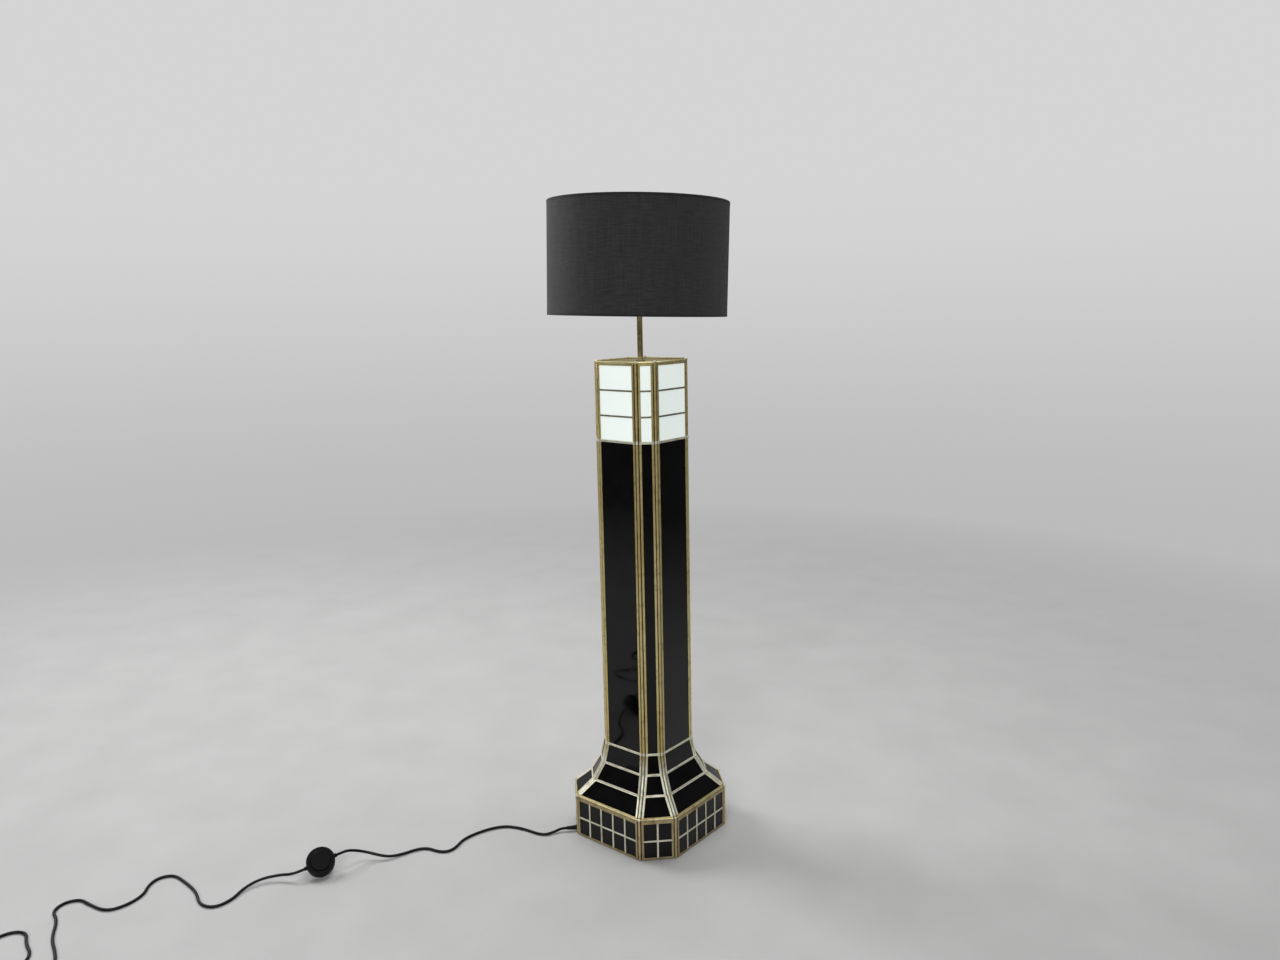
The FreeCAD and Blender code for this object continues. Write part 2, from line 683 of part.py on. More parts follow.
top_chamfer = "(neck_chamfer - top_gap * (2 - sqrt(2)))"
plate = padded("roof", octagon("(neck_half - top_gap)", top_chamfer),
               [("0", "0", "nipple_radius + edge_gap / 2")], "top_thick")
bind_place(plate, z="top_z")
keep(plate, "top_plate")

# ---------------------------------------------------------------- door hinges

hinge_x = "(-(neck_half - neck_chamfer) + hinge_inset)"
hinge_y = "(-neck_half - hinge_proud)"
post_parts, door_parts, pins = [], [], []
for name in ("low", "high"):
    start = "hinge_%s_z" % name
    moving = "(%s + knuckle_length + knuckle_gap)" % start
    for owner, z0, z1, x0, x1, y0 in (
            ("post", start, "%s + knuckle_length" % start, hinge_x + " - leaf_reach",
             hinge_x, "-neck_half - leaf_gap - leaf"),
            ("door", moving, moving + " + knuckle_length", hinge_x,
             hinge_x + " + door_leaf_reach", "-neck_half - leaf")):
        tag = "%s_%s" % (owner, name)
        barrel = rod(tag + "_barrel", "knuckle_radius", z0, z1, hinge_x, hinge_y)
        leaf = box(tag + "_leaf", x0, x1, y0, y0 + " + leaf", z0, z1)
        bore = rod(tag + "_bore", "pin_bore", z0 + " - 1", z1 + " + 1", hinge_x, hinge_y)
        knuckle = cut(tag + "_knuckle", fuse(tag + "_blank", [barrel, leaf]), bore)
        (post_parts if owner == "post" else door_parts).append(knuckle)
    head = "(%s + knuckle_length + 0.1 + pin_ball)" % moving
    shank = rod("pin_%s_shank" % name, "pin_radius", start, head, hinge_x, hinge_y)
    ball = doc.addObject("Part::Sphere", "pin_%s_ball" % name)
    bind(ball, Radius="pin_ball")
    bind_place(ball, hinge_x, hinge_y, head)
    pins.append(fuse("pin_" + name, [shank, ball]))
keep(group("post_knuckle_set", post_parts), "post_hinge_knuckles")
keep(group("door_knuckle_set", door_parts), "door_hinge_knuckles")
keep(group("pin_set", pins), "hinge_pins")

catch_z = "((opal_z + top_z) / 2)"
latch_x = "(neck_half - neck_chamfer - tongue_inset)"
keep(box("tongue", latch_x, latch_x + " + tongue_thick", "-neck_half + came_depth",
         "-neck_half + came_depth + tongue_reach", catch_z + " - tongue_height / 2",
         catch_z + " + tongue_height / 2"), "door_catch_tongue")
spring_x = "(neck_half - neck_chamfer - spring_inset)"
keep(box("spring", spring_x, spring_x + " + spring_width", "-neck_half + angle_back",
         "-neck_half + angle_back + spring_thick", catch_z + " - tongue_height / 2",
         catch_z + " + tongue_height / 2"), "door_catch_spring")

# ---------------------------------------------------------------- stem and lights

nipple = turned("nipple", [("nipple_bore", "0"), ("nipple_radius", "0"),
                           ("nipple_radius", "nipple_top_z - nipple_low_z"),
                           ("nipple_bore", "nipple_top_z - nipple_low_z")])
bind_place(nipple, z="nipple_low_z")
keep(nipple, "stem_nipple")

tube_low = "(top_z + top_thick)"
tube = turned("stem", [("stem_bore", "0"), ("stem_radius", "0"),
                       ("stem_radius", "holder_z - " + tube_low),
                       ("stem_bore", "holder_z - " + tube_low)])
bind_place(tube, z=tube_low)
keep(tube, "stem_tube")

washer = cut("washer", rod("washer_disc", "washer_radius", "top_z - washer_thick", "top_z"),
             rod("washer_hole", "thread_bore", "top_z - 3", "top_z + 1"))
hexagon = doc.addObject("Part::Prism", "nut_blank")
hexagon.Polygon = 6
bind(hexagon, Circumradius="nut_flats / sqrt(3)", Height="nut_thick")
bind_place(hexagon, z="top_z - washer_thick - nut_thick")
nut = cut("nut", hexagon, rod("nut_hole", "thread_bore", "top_z - 12", "top_z"))
keep(group("nut_set", [washer, nut]), "stem_nuts")

holder = turned("upper_holder", [
    ("thread_bore", "0"), ("cap_radius", "0"), ("cap_radius", "15"),
    ("holder_radius", "17"), ("holder_radius", "shoulder_z - holder_z - 2.5"),
    ("shoulder_radius", "shoulder_z - holder_z - 2.5"),
    ("shoulder_radius", "shoulder_z - holder_z"), ("holder_radius", "shoulder_z - holder_z"),
    ("holder_radius", "holder_top_z - holder_z"), ("socket_radius", "holder_top_z - holder_z"),
    ("socket_radius", "socket_z - holder_z"), ("0", "socket_z - holder_z"),
    ("0", "24"), ("8", "24"), ("8", "15"), ("thread_bore", "15")])
bind_place(holder, z="holder_z")
keep(holder, "upper_lampholder")

base_low = "(socket_z + 1)"
bulb = fuse("upper_bulb_form", [
    rod("upper_bulb_base", "lamp_base", base_low, "holder_top_z + 4"),
    rod("upper_bulb_neck", "lamp_base + 1.6", "holder_top_z + 4", "globe_z - 22"),
    rod("upper_bulb_tip", "5", "socket_z", base_low + " + 1")])
globe = doc.addObject("Part::Sphere", "upper_globe")
bind(globe, Radius="globe_radius")
bind_place(globe, z="globe_z")
cone = doc.addObject("Part::Cone", "upper_cone")
bind(cone, Radius1="lamp_base + 1.6", Radius2="globe_radius * 0.9",
     Height="globe_z - globe_radius * 0.436 - holder_top_z - 10")
bind_place(cone, z="holder_top_z + 10")
keep(fuse("upper_bulb_whole", [bulb, cone, globe]), "upper_bulb")

floor_top = "(floor_z + floor_thick)"
holder = turned("small_holder", [
    ("0", "0"), ("small_holder_radius", "0"), ("small_holder_radius", "6"),
    ("small_holder_radius - 1.5", "8"), ("small_holder_radius - 1.5", "small_holder_height"),
    ("small_socket_radius", "small_holder_height"),
    ("small_socket_radius", "small_holder_height - 18"), ("0", "small_holder_height - 18")])
bind_place(holder, z=floor_top)
keep(holder, "lantern_lampholder")

seat_z = "(floor_z + floor_thick + small_holder_height - 18)"
small_globe_z = "(floor_z + floor_thick + 66)"
globe = doc.addObject("Part::Sphere", "candle_globe")
bind(globe, Radius="candle_radius")
bind_place(globe, z=small_globe_z)
low_cone = doc.addObject("Part::Cone", "candle_low")
bind(low_cone, Radius1="small_base + 1", Radius2="candle_radius * 0.92",
     Height=small_globe_z + " - candle_radius * 0.39 - %s - 20" % seat_z)
bind_place(low_cone, z=seat_z + " + 20")
high_cone = doc.addObject("Part::Cone", "candle_high")
bind(high_cone, Radius1="candle_radius * 0.94", Radius2="2.5",
     Height="floor_z + candle_top - %s - candle_radius * 0.34" % small_globe_z)
bind_place(high_cone, z=small_globe_z + " + candle_radius * 0.34")
keep(fuse("candle", [
    rod("candle_base", "small_base", seat_z, seat_z + " + 20.5"), low_cone, globe,
    high_cone]), "lantern_bulb")

# ---------------------------------------------------------------- shade

# the drum sits a little out of level: it leans about a point on the lamp's axis
LEANT = ("create(<<placement>>; create(<<vector>>; 0; 0; shade_pivot_z); "
         "create(<<rotation>>; shade_lean_yaw; shade_lean; 0)) * "
         "create(<<placement>>; create(<<vector>>; 0; 0; %s - shade_pivot_z); "
         "create(<<rotation>>; 0; 0; 0))")


def leant(obj, z):
    obj.setExpression("Placement", dims(LEANT % z))
    return obj


shell = turned("shade", [("shade_radius - shade_wall", "0"), ("shade_radius", "0"),
                         ("shade_radius", "shade_top_z - shade_low_z"),
                         ("shade_radius - shade_wall", "shade_top_z - shade_low_z")])
keep(leant(shell, "shade_low_z"), "shade_shell")

ring_radius = "(shade_radius - shade_wall - ring_gap - ring_wire)"


def ring_wire(name, z):
    obj = doc.addObject("Part::Torus", name)
    bind(obj, Radius1=ring_radius, Radius2="ring_wire")
    return leant(obj, z)


keep(ring_wire("top_ring", "shade_top_z - ring_edge"), "shade_top_ring")
low_ring = ring_wire("low_ring", "shade_low_z + ring_edge")
doc.recompute()
pieces = [low_ring,
          rod("carrier_disc", "plate_radius", "shoulder_z", "shoulder_z + plate_thick")]
for index in range(3):
    turn = math.radians(30 + 120 * index)
    root = Vector(math.cos(turn), math.sin(turn), 0) * (size("plate_radius") - 1)
    root.z = size("shoulder_z") + size("plate_thick") / 2
    turn -= math.radians(size("shade_lean_yaw"))
    rim = Vector(math.cos(turn), math.sin(turn), 0) * read(ring_radius)
    reach = low_ring.Placement.multVec(rim) - root
    arm = doc.addObject("Part::Feature", "arm_%d" % index)
    arm.Shape = Part.makeCylinder(size("arm_radius"), reach.Length, root, reach)
    pieces.append(arm)
carrier = cut("carrier", fuse("carrier_blank", pieces),
              rod("carrier_hole", "plate_bore", "shoulder_z - 5", "shoulder_z + 6"))
keep(carrier, "shade_carrier")

nut = turned("ring_nut", [("nut_bore", "0"), ("nut_radius", "0"),
                          ("nut_radius", "nut_height - 1.5"),
                          ("nut_radius - 1.5", "nut_height"), ("nut_bore", "nut_height")])
bind_place(nut, z="shoulder_z + plate_thick")
keep(nut, "shade_ring_nut")

# ---------------------------------------------------------------- wiring

keep(box("block", "-block_width / 2", "block_width / 2", "-block_length / 2",
         "block_length / 2", "floor_z - block_height", "floor_z"), "terminal_block")

BEND = 0.45


def route_wire(points):
    """Straight runs joined by tangent arcs through a list of corner points."""
    edges, length = [], 0.0
    least = None
    at = points[0]
    for i in range(1, len(points) - 1):
        before = points[i] - points[i - 1]
        after = points[i + 1] - points[i]
        turn = before.getAngle(after)
        reach = BEND * min(before.Length, after.Length)
        radius = reach / math.tan(turn / 2)
        first = before.normalize()
        second = after.normalize()
        start = points[i] - first * reach
        end = points[i] + second * reach
        centre = start + ((second - first * math.cos(turn)).normalize()) * radius
        middle = centre + ((points[i] - centre).normalize()) * radius
        edges.append(Part.LineSegment(at, start).toShape())
        edges.append(Part.Arc(start, middle, end).toShape())
        length += (start - at).Length + radius * turn
        least = radius if least is None else min(least, radius)
        at = end
    edges.append(Part.LineSegment(at, points[-1]).toShape())
    length += (points[-1] - at).Length
    return Part.Wire(edges), length, least


def tube_along(name, points, radius):
    """Round lead swept along a route."""
    spine, length, least = route_wire(points)
    heading = points[1] - points[0]
    ring = Part.Wire([Part.makeCircle(radius, points[0], heading)])
    solid = spine.makePipeShell([ring], True, False)
    share = solid.Volume / (math.pi * radius ** 2 * length)
    print("%s length %.1f least radius %.1f volume share %.4f valid %s"
          % (name, length, least, share, solid.isValid()))
    return shape_node(name, solid)


# the cord leaves the left chamfer near the front corner, square to the face
turn = math.radians(FACES["front_left"])
outward = Vector(math.sin(turn), -math.cos(turn), 0)
along = Vector(math.cos(turn), math.sin(turn), 0)
exit_point = (outward * size("plinth_narrow_reach")
              + along * (size("plinth_narrow_half_start") + size("corner_inset")
                         - size("exit_inset")) + Vector(0, 0, size("exit_z")))
tip = exit_point + outward * (size("flange_thick") + size("relief_length"))

bushing = turned("bushing", [
    ("bushing_bore", "-catch_depth"), ("catch_radius", "-catch_depth"),
    ("catch_radius", "-catch_depth + catch_thick"),
    ("bushing_neck", "-catch_depth + catch_thick"), ("bushing_neck", "0.05"),
    ("flange_radius", "0.05"), ("flange_radius", "flange_thick"),
    ("relief_root", "flange_thick"), ("relief_tip", "flange_thick + relief_length"),
    ("bushing_bore", "flange_thick + relief_length")])
stand_yaw = str(FACES["front_left"])
bind_about(bushing, stand_yaw, exit_local, "-plinth_narrow_reach", "exit_z", roll="90")
keep(bushing, "cord_bushing")

inlet = exit_point - outward * size("lead_inlet")
block_low = size("floor_z") - size("block_height")
tube_along("inner_lead", [tip, inlet, Vector(0, 0, size("exit_z") + size("lead_inlet")),
                          Vector(0, 0, block_low)], size("cord_radius"))
wire_y = size("wire_y")
block_z = size("floor_z") - size("block_height") / 2
over_z = size("lead_over_z")
tube_along("stem_lead", [Vector(0, size("block_length") / 2, block_z),
                         Vector(0, wire_y, block_z), Vector(0, wire_y, over_z - 14),
                         Vector(0, 0, over_z), Vector(0, 0, size("lead_end_z"))],
           size("stem_lead_radius"))

# ---------------------------------------------------------------- foot switch

switch_at = Vector(size("switch_x"), size("switch_y"), size("switch_z"))
half_height = "((switch_base_height + switch_cover_height) / 2)"
SWITCH_PLACE = dict(x="switch_x", y="switch_y", z="switch_z", yaw="switch_yaw",
                    pitch="switch_tilt")


def at_switch(obj):
    return bind_place(obj, **SWITCH_PLACE)


case = turned("switch_case", [
    ("0", "-" + half_height), ("switch_radius - 1", "-" + half_height),
    ("switch_radius", "-%s + 1" % half_height),
    ("switch_radius", "-%s + switch_base_height" % half_height),
    ("switch_radius - switch_wall", "-%s + switch_base_height" % half_height),
    ("switch_radius - switch_wall", "-%s + switch_wall" % half_height),
    ("0", "-%s + switch_wall" % half_height)])
collars = []
for index, side in ((0, "collar_turn"), (1, "(collar_turn + 180)")):
    collar = doc.addObject("Part::Cylinder", "collar_%d" % index)
    bind(collar, Radius="collar_radius", Height="collar_reach - switch_radius + 2")
    start = "(switch_radius - 2)"
    bind_place(collar, "%s * cos(%s * 1 deg)" % (start, side),
               "%s * sin(%s * 1 deg)" % (start, side), "0", side, "90")
    collars.append(collar)
keep(at_switch(fuse("switch_case_whole", [case] + collars)), "switch_base")

cover_low = "(-%s + switch_base_height)" % half_height
cover_top = "(%s)" % half_height
cover = turned("switch_lid", [
    ("button_hole", cover_low + " + switch_cover_height - 2"),
    ("switch_radius - switch_wall", cover_low + " + switch_cover_height - 2"),
    ("switch_radius - switch_wall", cover_low), ("switch_radius", cover_low),
    ("switch_radius", cover_top + " - 1.5"), ("switch_radius - 1.5", cover_top),
    ("button_hole", cover_top)])
keep(at_switch(cover), "switch_cover")

flange_top = "(%s - 2 - 0.1)" % cover_top
button = turned("switch_push", [
    ("0", flange_top + " - button_flange_thick"),
    ("button_flange", flange_top + " - button_flange_thick"),
    ("button_flange", flange_top), ("button_radius", flange_top),
    ("button_radius", cover_top + " + button_proud - 1"),
    ("button_radius - 1", cover_top + " + button_proud"),
    ("0", cover_top + " + button_proud")])
keep(at_switch(button), "switch_button")

# ---------------------------------------------------------------- cord and plug

line_turn = math.radians(size("collar_turn"))
cord_line = Rotation(size("switch_yaw"), size("switch_tilt"), 0).multVec(
    Vector(math.cos(line_turn), math.sin(line_turn), 0))
lamp_side = switch_at + cord_line * size("collar_reach")
plug_side = switch_at - cord_line * size("collar_reach")
FLOOR = size("cord_radius")

# corner points of the two free stretches: across, along and lift above lying flat
ROUTE_TO_SWITCH = [
    (-141.6, -188.5, 0.9), (-154, -216.1, 0), (-219, -222.3, 0), (-269.3, -247.5, 0),
    (-295.6, -333.6, 0), (-273.2, -385.8, 0), (-287.6, -412, 0), (-338.6, -420.1, 0),
    (-355.9, -477.9, 0), (-368.5, -506.6, 4.9), (-408.6, -533.9, 16.9),
    (-416.8, -561.4, 29.9)]
ROUTE_TO_PLUG = [
    (-487.5, -700.2, 10.4), (-513.7, -731.7, 6.4), (-517.3, -770.9, 1.9),
    (-500.2, -805.6, 0), (-502, -845.1, 0), (-538.8, -859.4, 0), (-589.4, -839.8, 0),
    (-650.2, -836.9, 0), (-693.5, -838.6, 0), (-710.7, -864.4, 0), (-699.9, -893.4, 0),
    (-672.2, -914.7, 0), (-661.2, -953.6, 0), (-673.4, -993.8, 0), (-732.4, -1005.4, 0),
    (-764, -1008.5, 0), (-779.2, -1036.4, 0), (-764.5, -1064.6, 0), (-723.8, -1069.5, 0),
    (-664.9, -1102.6, 0), (-608.7, -1115.1, 0), (-560, -1134.4, 0), (-560.3, -1179.3, 0),
    (-605.5, -1193, 0), (-639.9, -1146.9, 0), (-690.2, -1140.4, 0), (-726.1, -1125.7, 0),
    (-753.7, -1140.3, 0), (-759.8, -1176.3, 0.4)]


def lifted(route):
    return [Vector(x, y, FLOOR + lift) for x, y, lift in route]


plug_at = Vector(size("plug_x"), size("plug_y"), size("plug_z"))
plug_turn = math.radians(size("plug_yaw"))
plug_line = Vector(math.cos(plug_turn), math.sin(plug_turn), 0)
first = [tip, tip + outward * size("exit_run")] + lifted(ROUTE_TO_SWITCH)
first += [lamp_side + cord_line * size("lamp_run"), lamp_side]
second = [plug_side, plug_side - cord_line * size("away_run")] + lifted(ROUTE_TO_PLUG)
second += [plug_at - plug_line * size("plug_run"), plug_at]
tube_along("cord_lamp_to_switch", first, size("cord_radius"))
tube_along("cord_switch_to_plug", second, size("cord_radius"))

tail = doc.addObject("Part::Cone", "plug_tail_cone")
bind(tail, Radius1="collar_radius - 0.4", Radius2="collar_radius + 1.6",
     Height="plug_relief + 1")
bind_place(tail, pitch="90")
shoulder = doc.addObject("Part::Wedge", "plug_shoulder")
bind(shoulder, Xmin="-plug_width / 4", Xmax="plug_width / 4", X2min="-plug_width / 2",
     X2max="plug_width / 2", Ymin="0", Ymax="plug_tail / 2", Zmin="-plug_height / 2",
     Z2min="-plug_height / 2", Zmax="plug_height / 2", Z2max="plug_height / 2")
bind_place(shoulder, x="plug_relief", yaw="-90")
front = box("plug_front", "plug_relief + plug_tail / 2", "plug_relief + plug_length",
            "-plug_width / 2", "plug_width / 2", "-plug_height / 2", "plug_height / 2")
PLUG_PLACE = dict(x="plug_x", y="plug_y", z="plug_z", yaw="plug_yaw")
keep(bind_place(fuse("plug_form", [tail, shoulder, front]), **PLUG_PLACE), "plug_body")
pin_list = []
for index, side in ((0, "-"), (1, "")):
    pin = doc.addObject("Part::Cylinder", "plug_pin_%d" % index)
    bind(pin, Radius="pin_size", Height="pin_length")
    bind_place(pin, "plug_relief + plug_length", side + "pin_spacing / 2", "0", pitch="90")
    pin_list.append(pin)
keep(bind_place(group("plug_pin_set", pin_list), **PLUG_PLACE), "plug_pins")

# ---------------------------------------------------------------- check and export

doc.recompute()
faulty = [obj.Name for obj in doc.Objects
          if "Invalid" in obj.State or "Error" in obj.State]
if faulty:
    raise RuntimeError("objects in error: %s" % ", ".join(faulty))
for node, obj in nodes:
    shape = obj.Shape
    if shape.isNull() or not shape.isValid() or not shape.Solids:
        raise RuntimeError("bad shape in " + node)
    whole = Part.makeCompound(shape.Solids)
    whole.exportStep("parts/%s.step" % node)
print("%d nodes, %d solids" % (len(nodes), sum(len(obj.Shape.Solids) for _, obj in nodes)))
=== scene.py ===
import bmesh
import bpy
import json
import math
from mathutils import Matrix, Vector


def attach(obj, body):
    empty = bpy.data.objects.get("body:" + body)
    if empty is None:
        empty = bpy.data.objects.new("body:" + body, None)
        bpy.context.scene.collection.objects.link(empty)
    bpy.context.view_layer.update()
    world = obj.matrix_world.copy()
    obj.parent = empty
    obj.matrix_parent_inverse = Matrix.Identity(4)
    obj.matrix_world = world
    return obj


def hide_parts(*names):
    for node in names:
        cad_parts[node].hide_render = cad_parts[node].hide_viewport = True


# Lantern floor lamp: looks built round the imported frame. Metres, +Z up.

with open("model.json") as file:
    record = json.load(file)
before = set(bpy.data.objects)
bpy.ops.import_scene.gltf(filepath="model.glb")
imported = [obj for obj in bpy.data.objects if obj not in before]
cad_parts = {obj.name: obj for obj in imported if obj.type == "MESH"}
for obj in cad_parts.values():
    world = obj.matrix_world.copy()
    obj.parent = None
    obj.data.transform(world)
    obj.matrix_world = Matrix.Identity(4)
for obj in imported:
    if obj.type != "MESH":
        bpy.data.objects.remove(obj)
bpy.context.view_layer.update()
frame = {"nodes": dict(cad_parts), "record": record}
NODES = frame["nodes"]
scene = bpy.context.scene
scene.view_settings.view_transform = "Standard"

# ------------------------------------------------------------------ camera

CAMERA_PLACE = (1.4146, -1.7142, 1.2403)
CAMERA_DEGREES = (39.529, -0.172, 10.110, -1.214)  # azimuth, yaw, pitch, roll
LENS, SENSOR = 27.67, 36                           # millimetres
CLIP_START = 0.05


def place_camera():
    """Camera at the photograph's viewing angle."""
    azimuth, yaw, pitch, roll = (math.radians(angle) for angle in CAMERA_DEGREES)
    base = Vector((-math.sin(azimuth), math.cos(azimuth), 0))
    side = Vector((math.cos(azimuth), math.sin(azimuth), 0))
    ahead = math.cos(yaw) * base + math.sin(yaw) * side
    across = math.cos(yaw) * side - math.sin(yaw) * base
    sight = math.cos(pitch) * ahead - math.sin(pitch) * Vector((0, 0, 1))
    lift = math.sin(pitch) * ahead + math.cos(pitch) * Vector((0, 0, 1))
    right = math.cos(roll) * across + math.sin(roll) * lift
    top = math.cos(roll) * lift - math.sin(roll) * across
    data = bpy.data.cameras.new("camera")
    data.sensor_width = SENSOR
    data.lens = LENS
    data.clip_start = CLIP_START
    camera = bpy.data.objects.new("camera", data)
    scene.collection.objects.link(camera)
    turn = Matrix((right, top, -sight)).transposed().to_4x4()
    camera.matrix_world = Matrix.Translation(CAMERA_PLACE) @ turn
    scene.camera = camera


place_camera()

# ------------------------------------------------------------------ rings of the body

# Each came ring is an octagon: height, half its width across flats, leg of its chamfers.
NECK = (0.0885, 0.031)
RINGS = {
    "rim": (0.099, 0.1565, 0.060), "two": (0.133, 0.1195, 0.0455),
    "one": (0.1725, 0.098, 0.0355), "neck": (0.218, *NECK),
    "opal": (0.9425, *NECK), "top": (1.115, *NECK),
}
RIM_Z, NECK_Z, OPAL_Z, TOP_Z = (RINGS[ring][0] for ring in ("rim", "neck", "opal", "top"))

# ------------------------------------------------------------------ materials

# Noise scales are in cycles per metre.
MIX_FACTOR, MIX_A, MIX_B, MIX_RESULT = 0, 6, 7, 2   # colour sockets of the mix node

# pale tin colour, which is also a painted highlight on the cames that face up towards the
# light
TIN_AND_HIGHLIGHT = (0.84, 0.82, 0.65)
TIN_AND_HIGHLIGHT_METAL = 0.35
TIN_AND_HIGHLIGHT_STREAK = 1.12       # paler streaks in the tin and its painted highlight
PALE_BAND_EDGE = 0.001       # how fast a band starts
PALE_BAND_RAGGED = 0.0008    # how far its edges wander
# heights between which the cames are painted pale, as tin and as painted highlight, and the
# fade above them
TIN_AND_HIGHLIGHT_BANDS = ((RIM_Z + 0.0045, 0.180, 0.035), (OPAL_Z - 0.002, OPAL_Z + 0.004, 0.001),
             (NECK_Z - 0.003, NECK_Z + 0.0035, 0.001))

DRAWN = (1, 1, 0.12)   # noise drawn out along the height
EVEN = (1, 1, 1)
SEAM_SHADE_REACH = 0.005     # how far the painted shade and dirt reach out of a seam


def toned(color, factor):
    return tuple(part * factor for part in color)


class Mat:
    """A material of nodes round a Principled shader, with a few helpers."""

    def __init__(self, name, color, rough, metal=0.0, **sockets):
        self.made = bpy.data.materials.new(name)
        self.made.use_nodes = True
        self.nodes = self.made.node_tree.nodes
        self.links = self.made.node_tree.links
        self.shader = self.nodes["Principled BSDF"]
        self.fix(Base_Color=(*color, 1), Roughness=rough, Metallic=metal, **sockets)
        self.spot = self.nodes.new("ShaderNodeTexCoord").outputs["Object"]

    def fix(self, **sockets):
        """Set uniform values on the shader's own sockets."""
        for key, value in sockets.items():
            self.shader.inputs[key.replace("_", " ")].default_value = value

    def drive(self, socket, value):
        """Link a pattern to one of the shader's sockets."""
        self.links.new(value, self.shader.inputs[socket])

    def feed(self, socket, value):
        """Link a node's output to the socket, or set a plain value on it."""
        if hasattr(value, "links"):
            self.links.new(value, socket)
        else:
            socket.default_value = value

    def node(self, kind, inputs=None, **props):
        node = self.nodes.new("ShaderNode" + kind)
        for key, value in props.items():
            setattr(node, key, value)
        for key, value in (inputs or {}).items():
            self.feed(node.inputs[key], value)
        return node

    def split(self):
        """X, Y and Z of the shaded spot."""
        node = self.node("SeparateXYZ", {"Vector": self.spot})
        return [node.outputs[axis] for axis in "XYZ"]

    def scaled(self, x, y, z):
        node = self.node("Mapping", {"Vector": self.spot, "Scale": (x, y, z)})
        return node.outputs["Vector"]

    def noise(self, scale, detail=3, vector=None, rough=0.5):
        node = self.node("TexNoise", {"Vector": vector or self.spot, "Scale": scale,
                                      "Detail": detail, "Roughness": rough})
        return node.outputs["Fac"]

    def span(self, value, low, high, out_low=0.0, out_high=1.0):
        """Map low..high to out_low..out_high, held at both ends."""
        node = self.node("MapRange", {"Value": value, "From Min": low, "From Max": high,
                                      "To Min": out_low, "To Max": out_high})
        return node.outputs["Result"]

    def blend(self, factor, a, b):
        node = self.node("Mix", data_type="RGBA")
        self.feed(node.inputs[MIX_FACTOR], factor)
        for index, color in ((MIX_A, a), (MIX_B, b)):
            self.feed(node.inputs[index], color if hasattr(color, "links") else (*color, 1))
        return node.outputs[MIX_RESULT]

    def math(self, operation, a, b=0.5):
        node = self.node("Math", {0: a, 1: b}, operation=operation)
        return node.outputs[0]

    def both(self, operation, a, b, share_a, share_b):
        """Combine two patterns, each weighed by its share."""
        return self.math(operation, self.math("MULTIPLY", a, share_a),
                         self.math("MULTIPLY", b, share_b))

    def bump(self, height, strength, distance):
        node = self.node("Bump", {"Height": height, "Strength": strength,
                                  "Distance": distance})
        self.drive("Normal", node.outputs["Normal"])


def tin_and_highlight_over(mat, color, tone, metal):
    """Paint tin and a painted highlight over the brass colour between the heights of each
    band, and fade out above it.
    """
    level = mat.split()[2]
    ragged = mat.math("ADD", level,
                      mat.span(mat.noise(90, 3), 0.3, 0.7, -PALE_BAND_RAGGED, PALE_BAND_RAGGED))
    cover = None
    for low, high, fade in TIN_AND_HIGHLIGHT_BANDS:
        band = mat.math("MULTIPLY", mat.span(ragged, low - PALE_BAND_EDGE, low),
                        mat.span(ragged, high, high + fade, 1.0, 0.0))
        cover = band if cover is None else mat.math("MAXIMUM", cover, band)
    mat.drive("Metallic", mat.span(cover, 0, 1, metal, TIN_AND_HIGHLIGHT_METAL))
    return mat.blend(cover, color, mat.blend(tone, TIN_AND_HIGHLIGHT, toned(TIN_AND_HIGHLIGHT, TIN_AND_HIGHLIGHT_STREAK)))


def brass_material(name, dark, mid, pale, rough, streak=DRAWN, metal=0.62, tin_and_highlight=False):
    """Aged brass: drawn streaks, darker patina patches, painted shade and dirt in the seams,
    fine pitting.
    """
    mat = Mat(name, mid, rough, metal=metal)
    tone = mat.span(mat.noise(38, 4, mat.scaled(*streak)), 0.36, 0.64)
    patina = mat.span(mat.noise(55, 6, rough=0.65), 0.50, 0.78)
    color = mat.blend(tone, mid, pale)
    # pale bands of tin and painted highlight
    if tin_and_highlight:
        color = tin_and_highlight_over(mat, color, tone, metal)
    color = mat.blend(mat.math("MULTIPLY", patina, 0.75), color, dark)
    # painted shade and dirt: darker wherever ambient occlusion finds a seam or recess
    seam_shade = mat.node("AmbientOcclusion", {"Distance": SEAM_SHADE_REACH}, samples=4).outputs["AO"]
    mat.drive("Base Color", mat.blend(mat.span(seam_shade, 0.15, 0.75), toned(dark, 0.8), color))
    wear = mat.both("ADD", mat.noise(150, 4), patina, 0.6, 0.4)
    mat.drive("Roughness", mat.span(wear, 0.2, 0.7, rough - 0.06, rough + 0.14))
    mat.bump(mat.noise(420, 3), 0.2, 0.0004)
    return mat.made


def glass_black():
    """Polished black glass with a thin haze and slow waves."""
    mat = Mat("black_glass", (0.0025, 0.0025, 0.003), 0.045, IOR=1.33)
    haze = mat.span(mat.noise(30, 5), 0.35, 0.75)
    mat.drive("Base Color", mat.blend(haze, (0.002, 0.002, 0.0024), (0.0045, 0.0045, 0.0045)))
    mat.drive("Roughness", mat.span(haze, 0, 1, 0.03, 0.09))
    mat.bump(mat.noise(9, 2), 0.12, 0.004)
    return mat.made


def glass_opal():
    """Milky glass, faintly clouded along its height, with the glow of the lantern's bulb."""
    mat = Mat("opal_glass", (0.56, 0.61, 0.585), 0.14, IOR=1.5,
              Subsurface_Weight=0.25, Subsurface_Radius=(0.02, 0.02, 0.02),
              Emission_Color=(0.92, 1.0, 0.955, 1), Emission_Strength=0.56)
    cloud = mat.span(mat.noise(13, 4, mat.scaled(1, 1, 0.35)), 0.3, 0.7)
    mat.drive("Base Color", mat.blend(cloud, (0.52, 0.58, 0.555), (0.59, 0.63, 0.605)))
    mat.bump(mat.noise(16, 3), 0.08, 0.003)
    return mat.made


WARP, WEFT = 1700, 8200                       # threads: per radian round, per metre up
ROUND_SLUBS, UPWARD_SLUBS = (7.0, 330.0), (120.0, 12.0)   # stretch: round, up


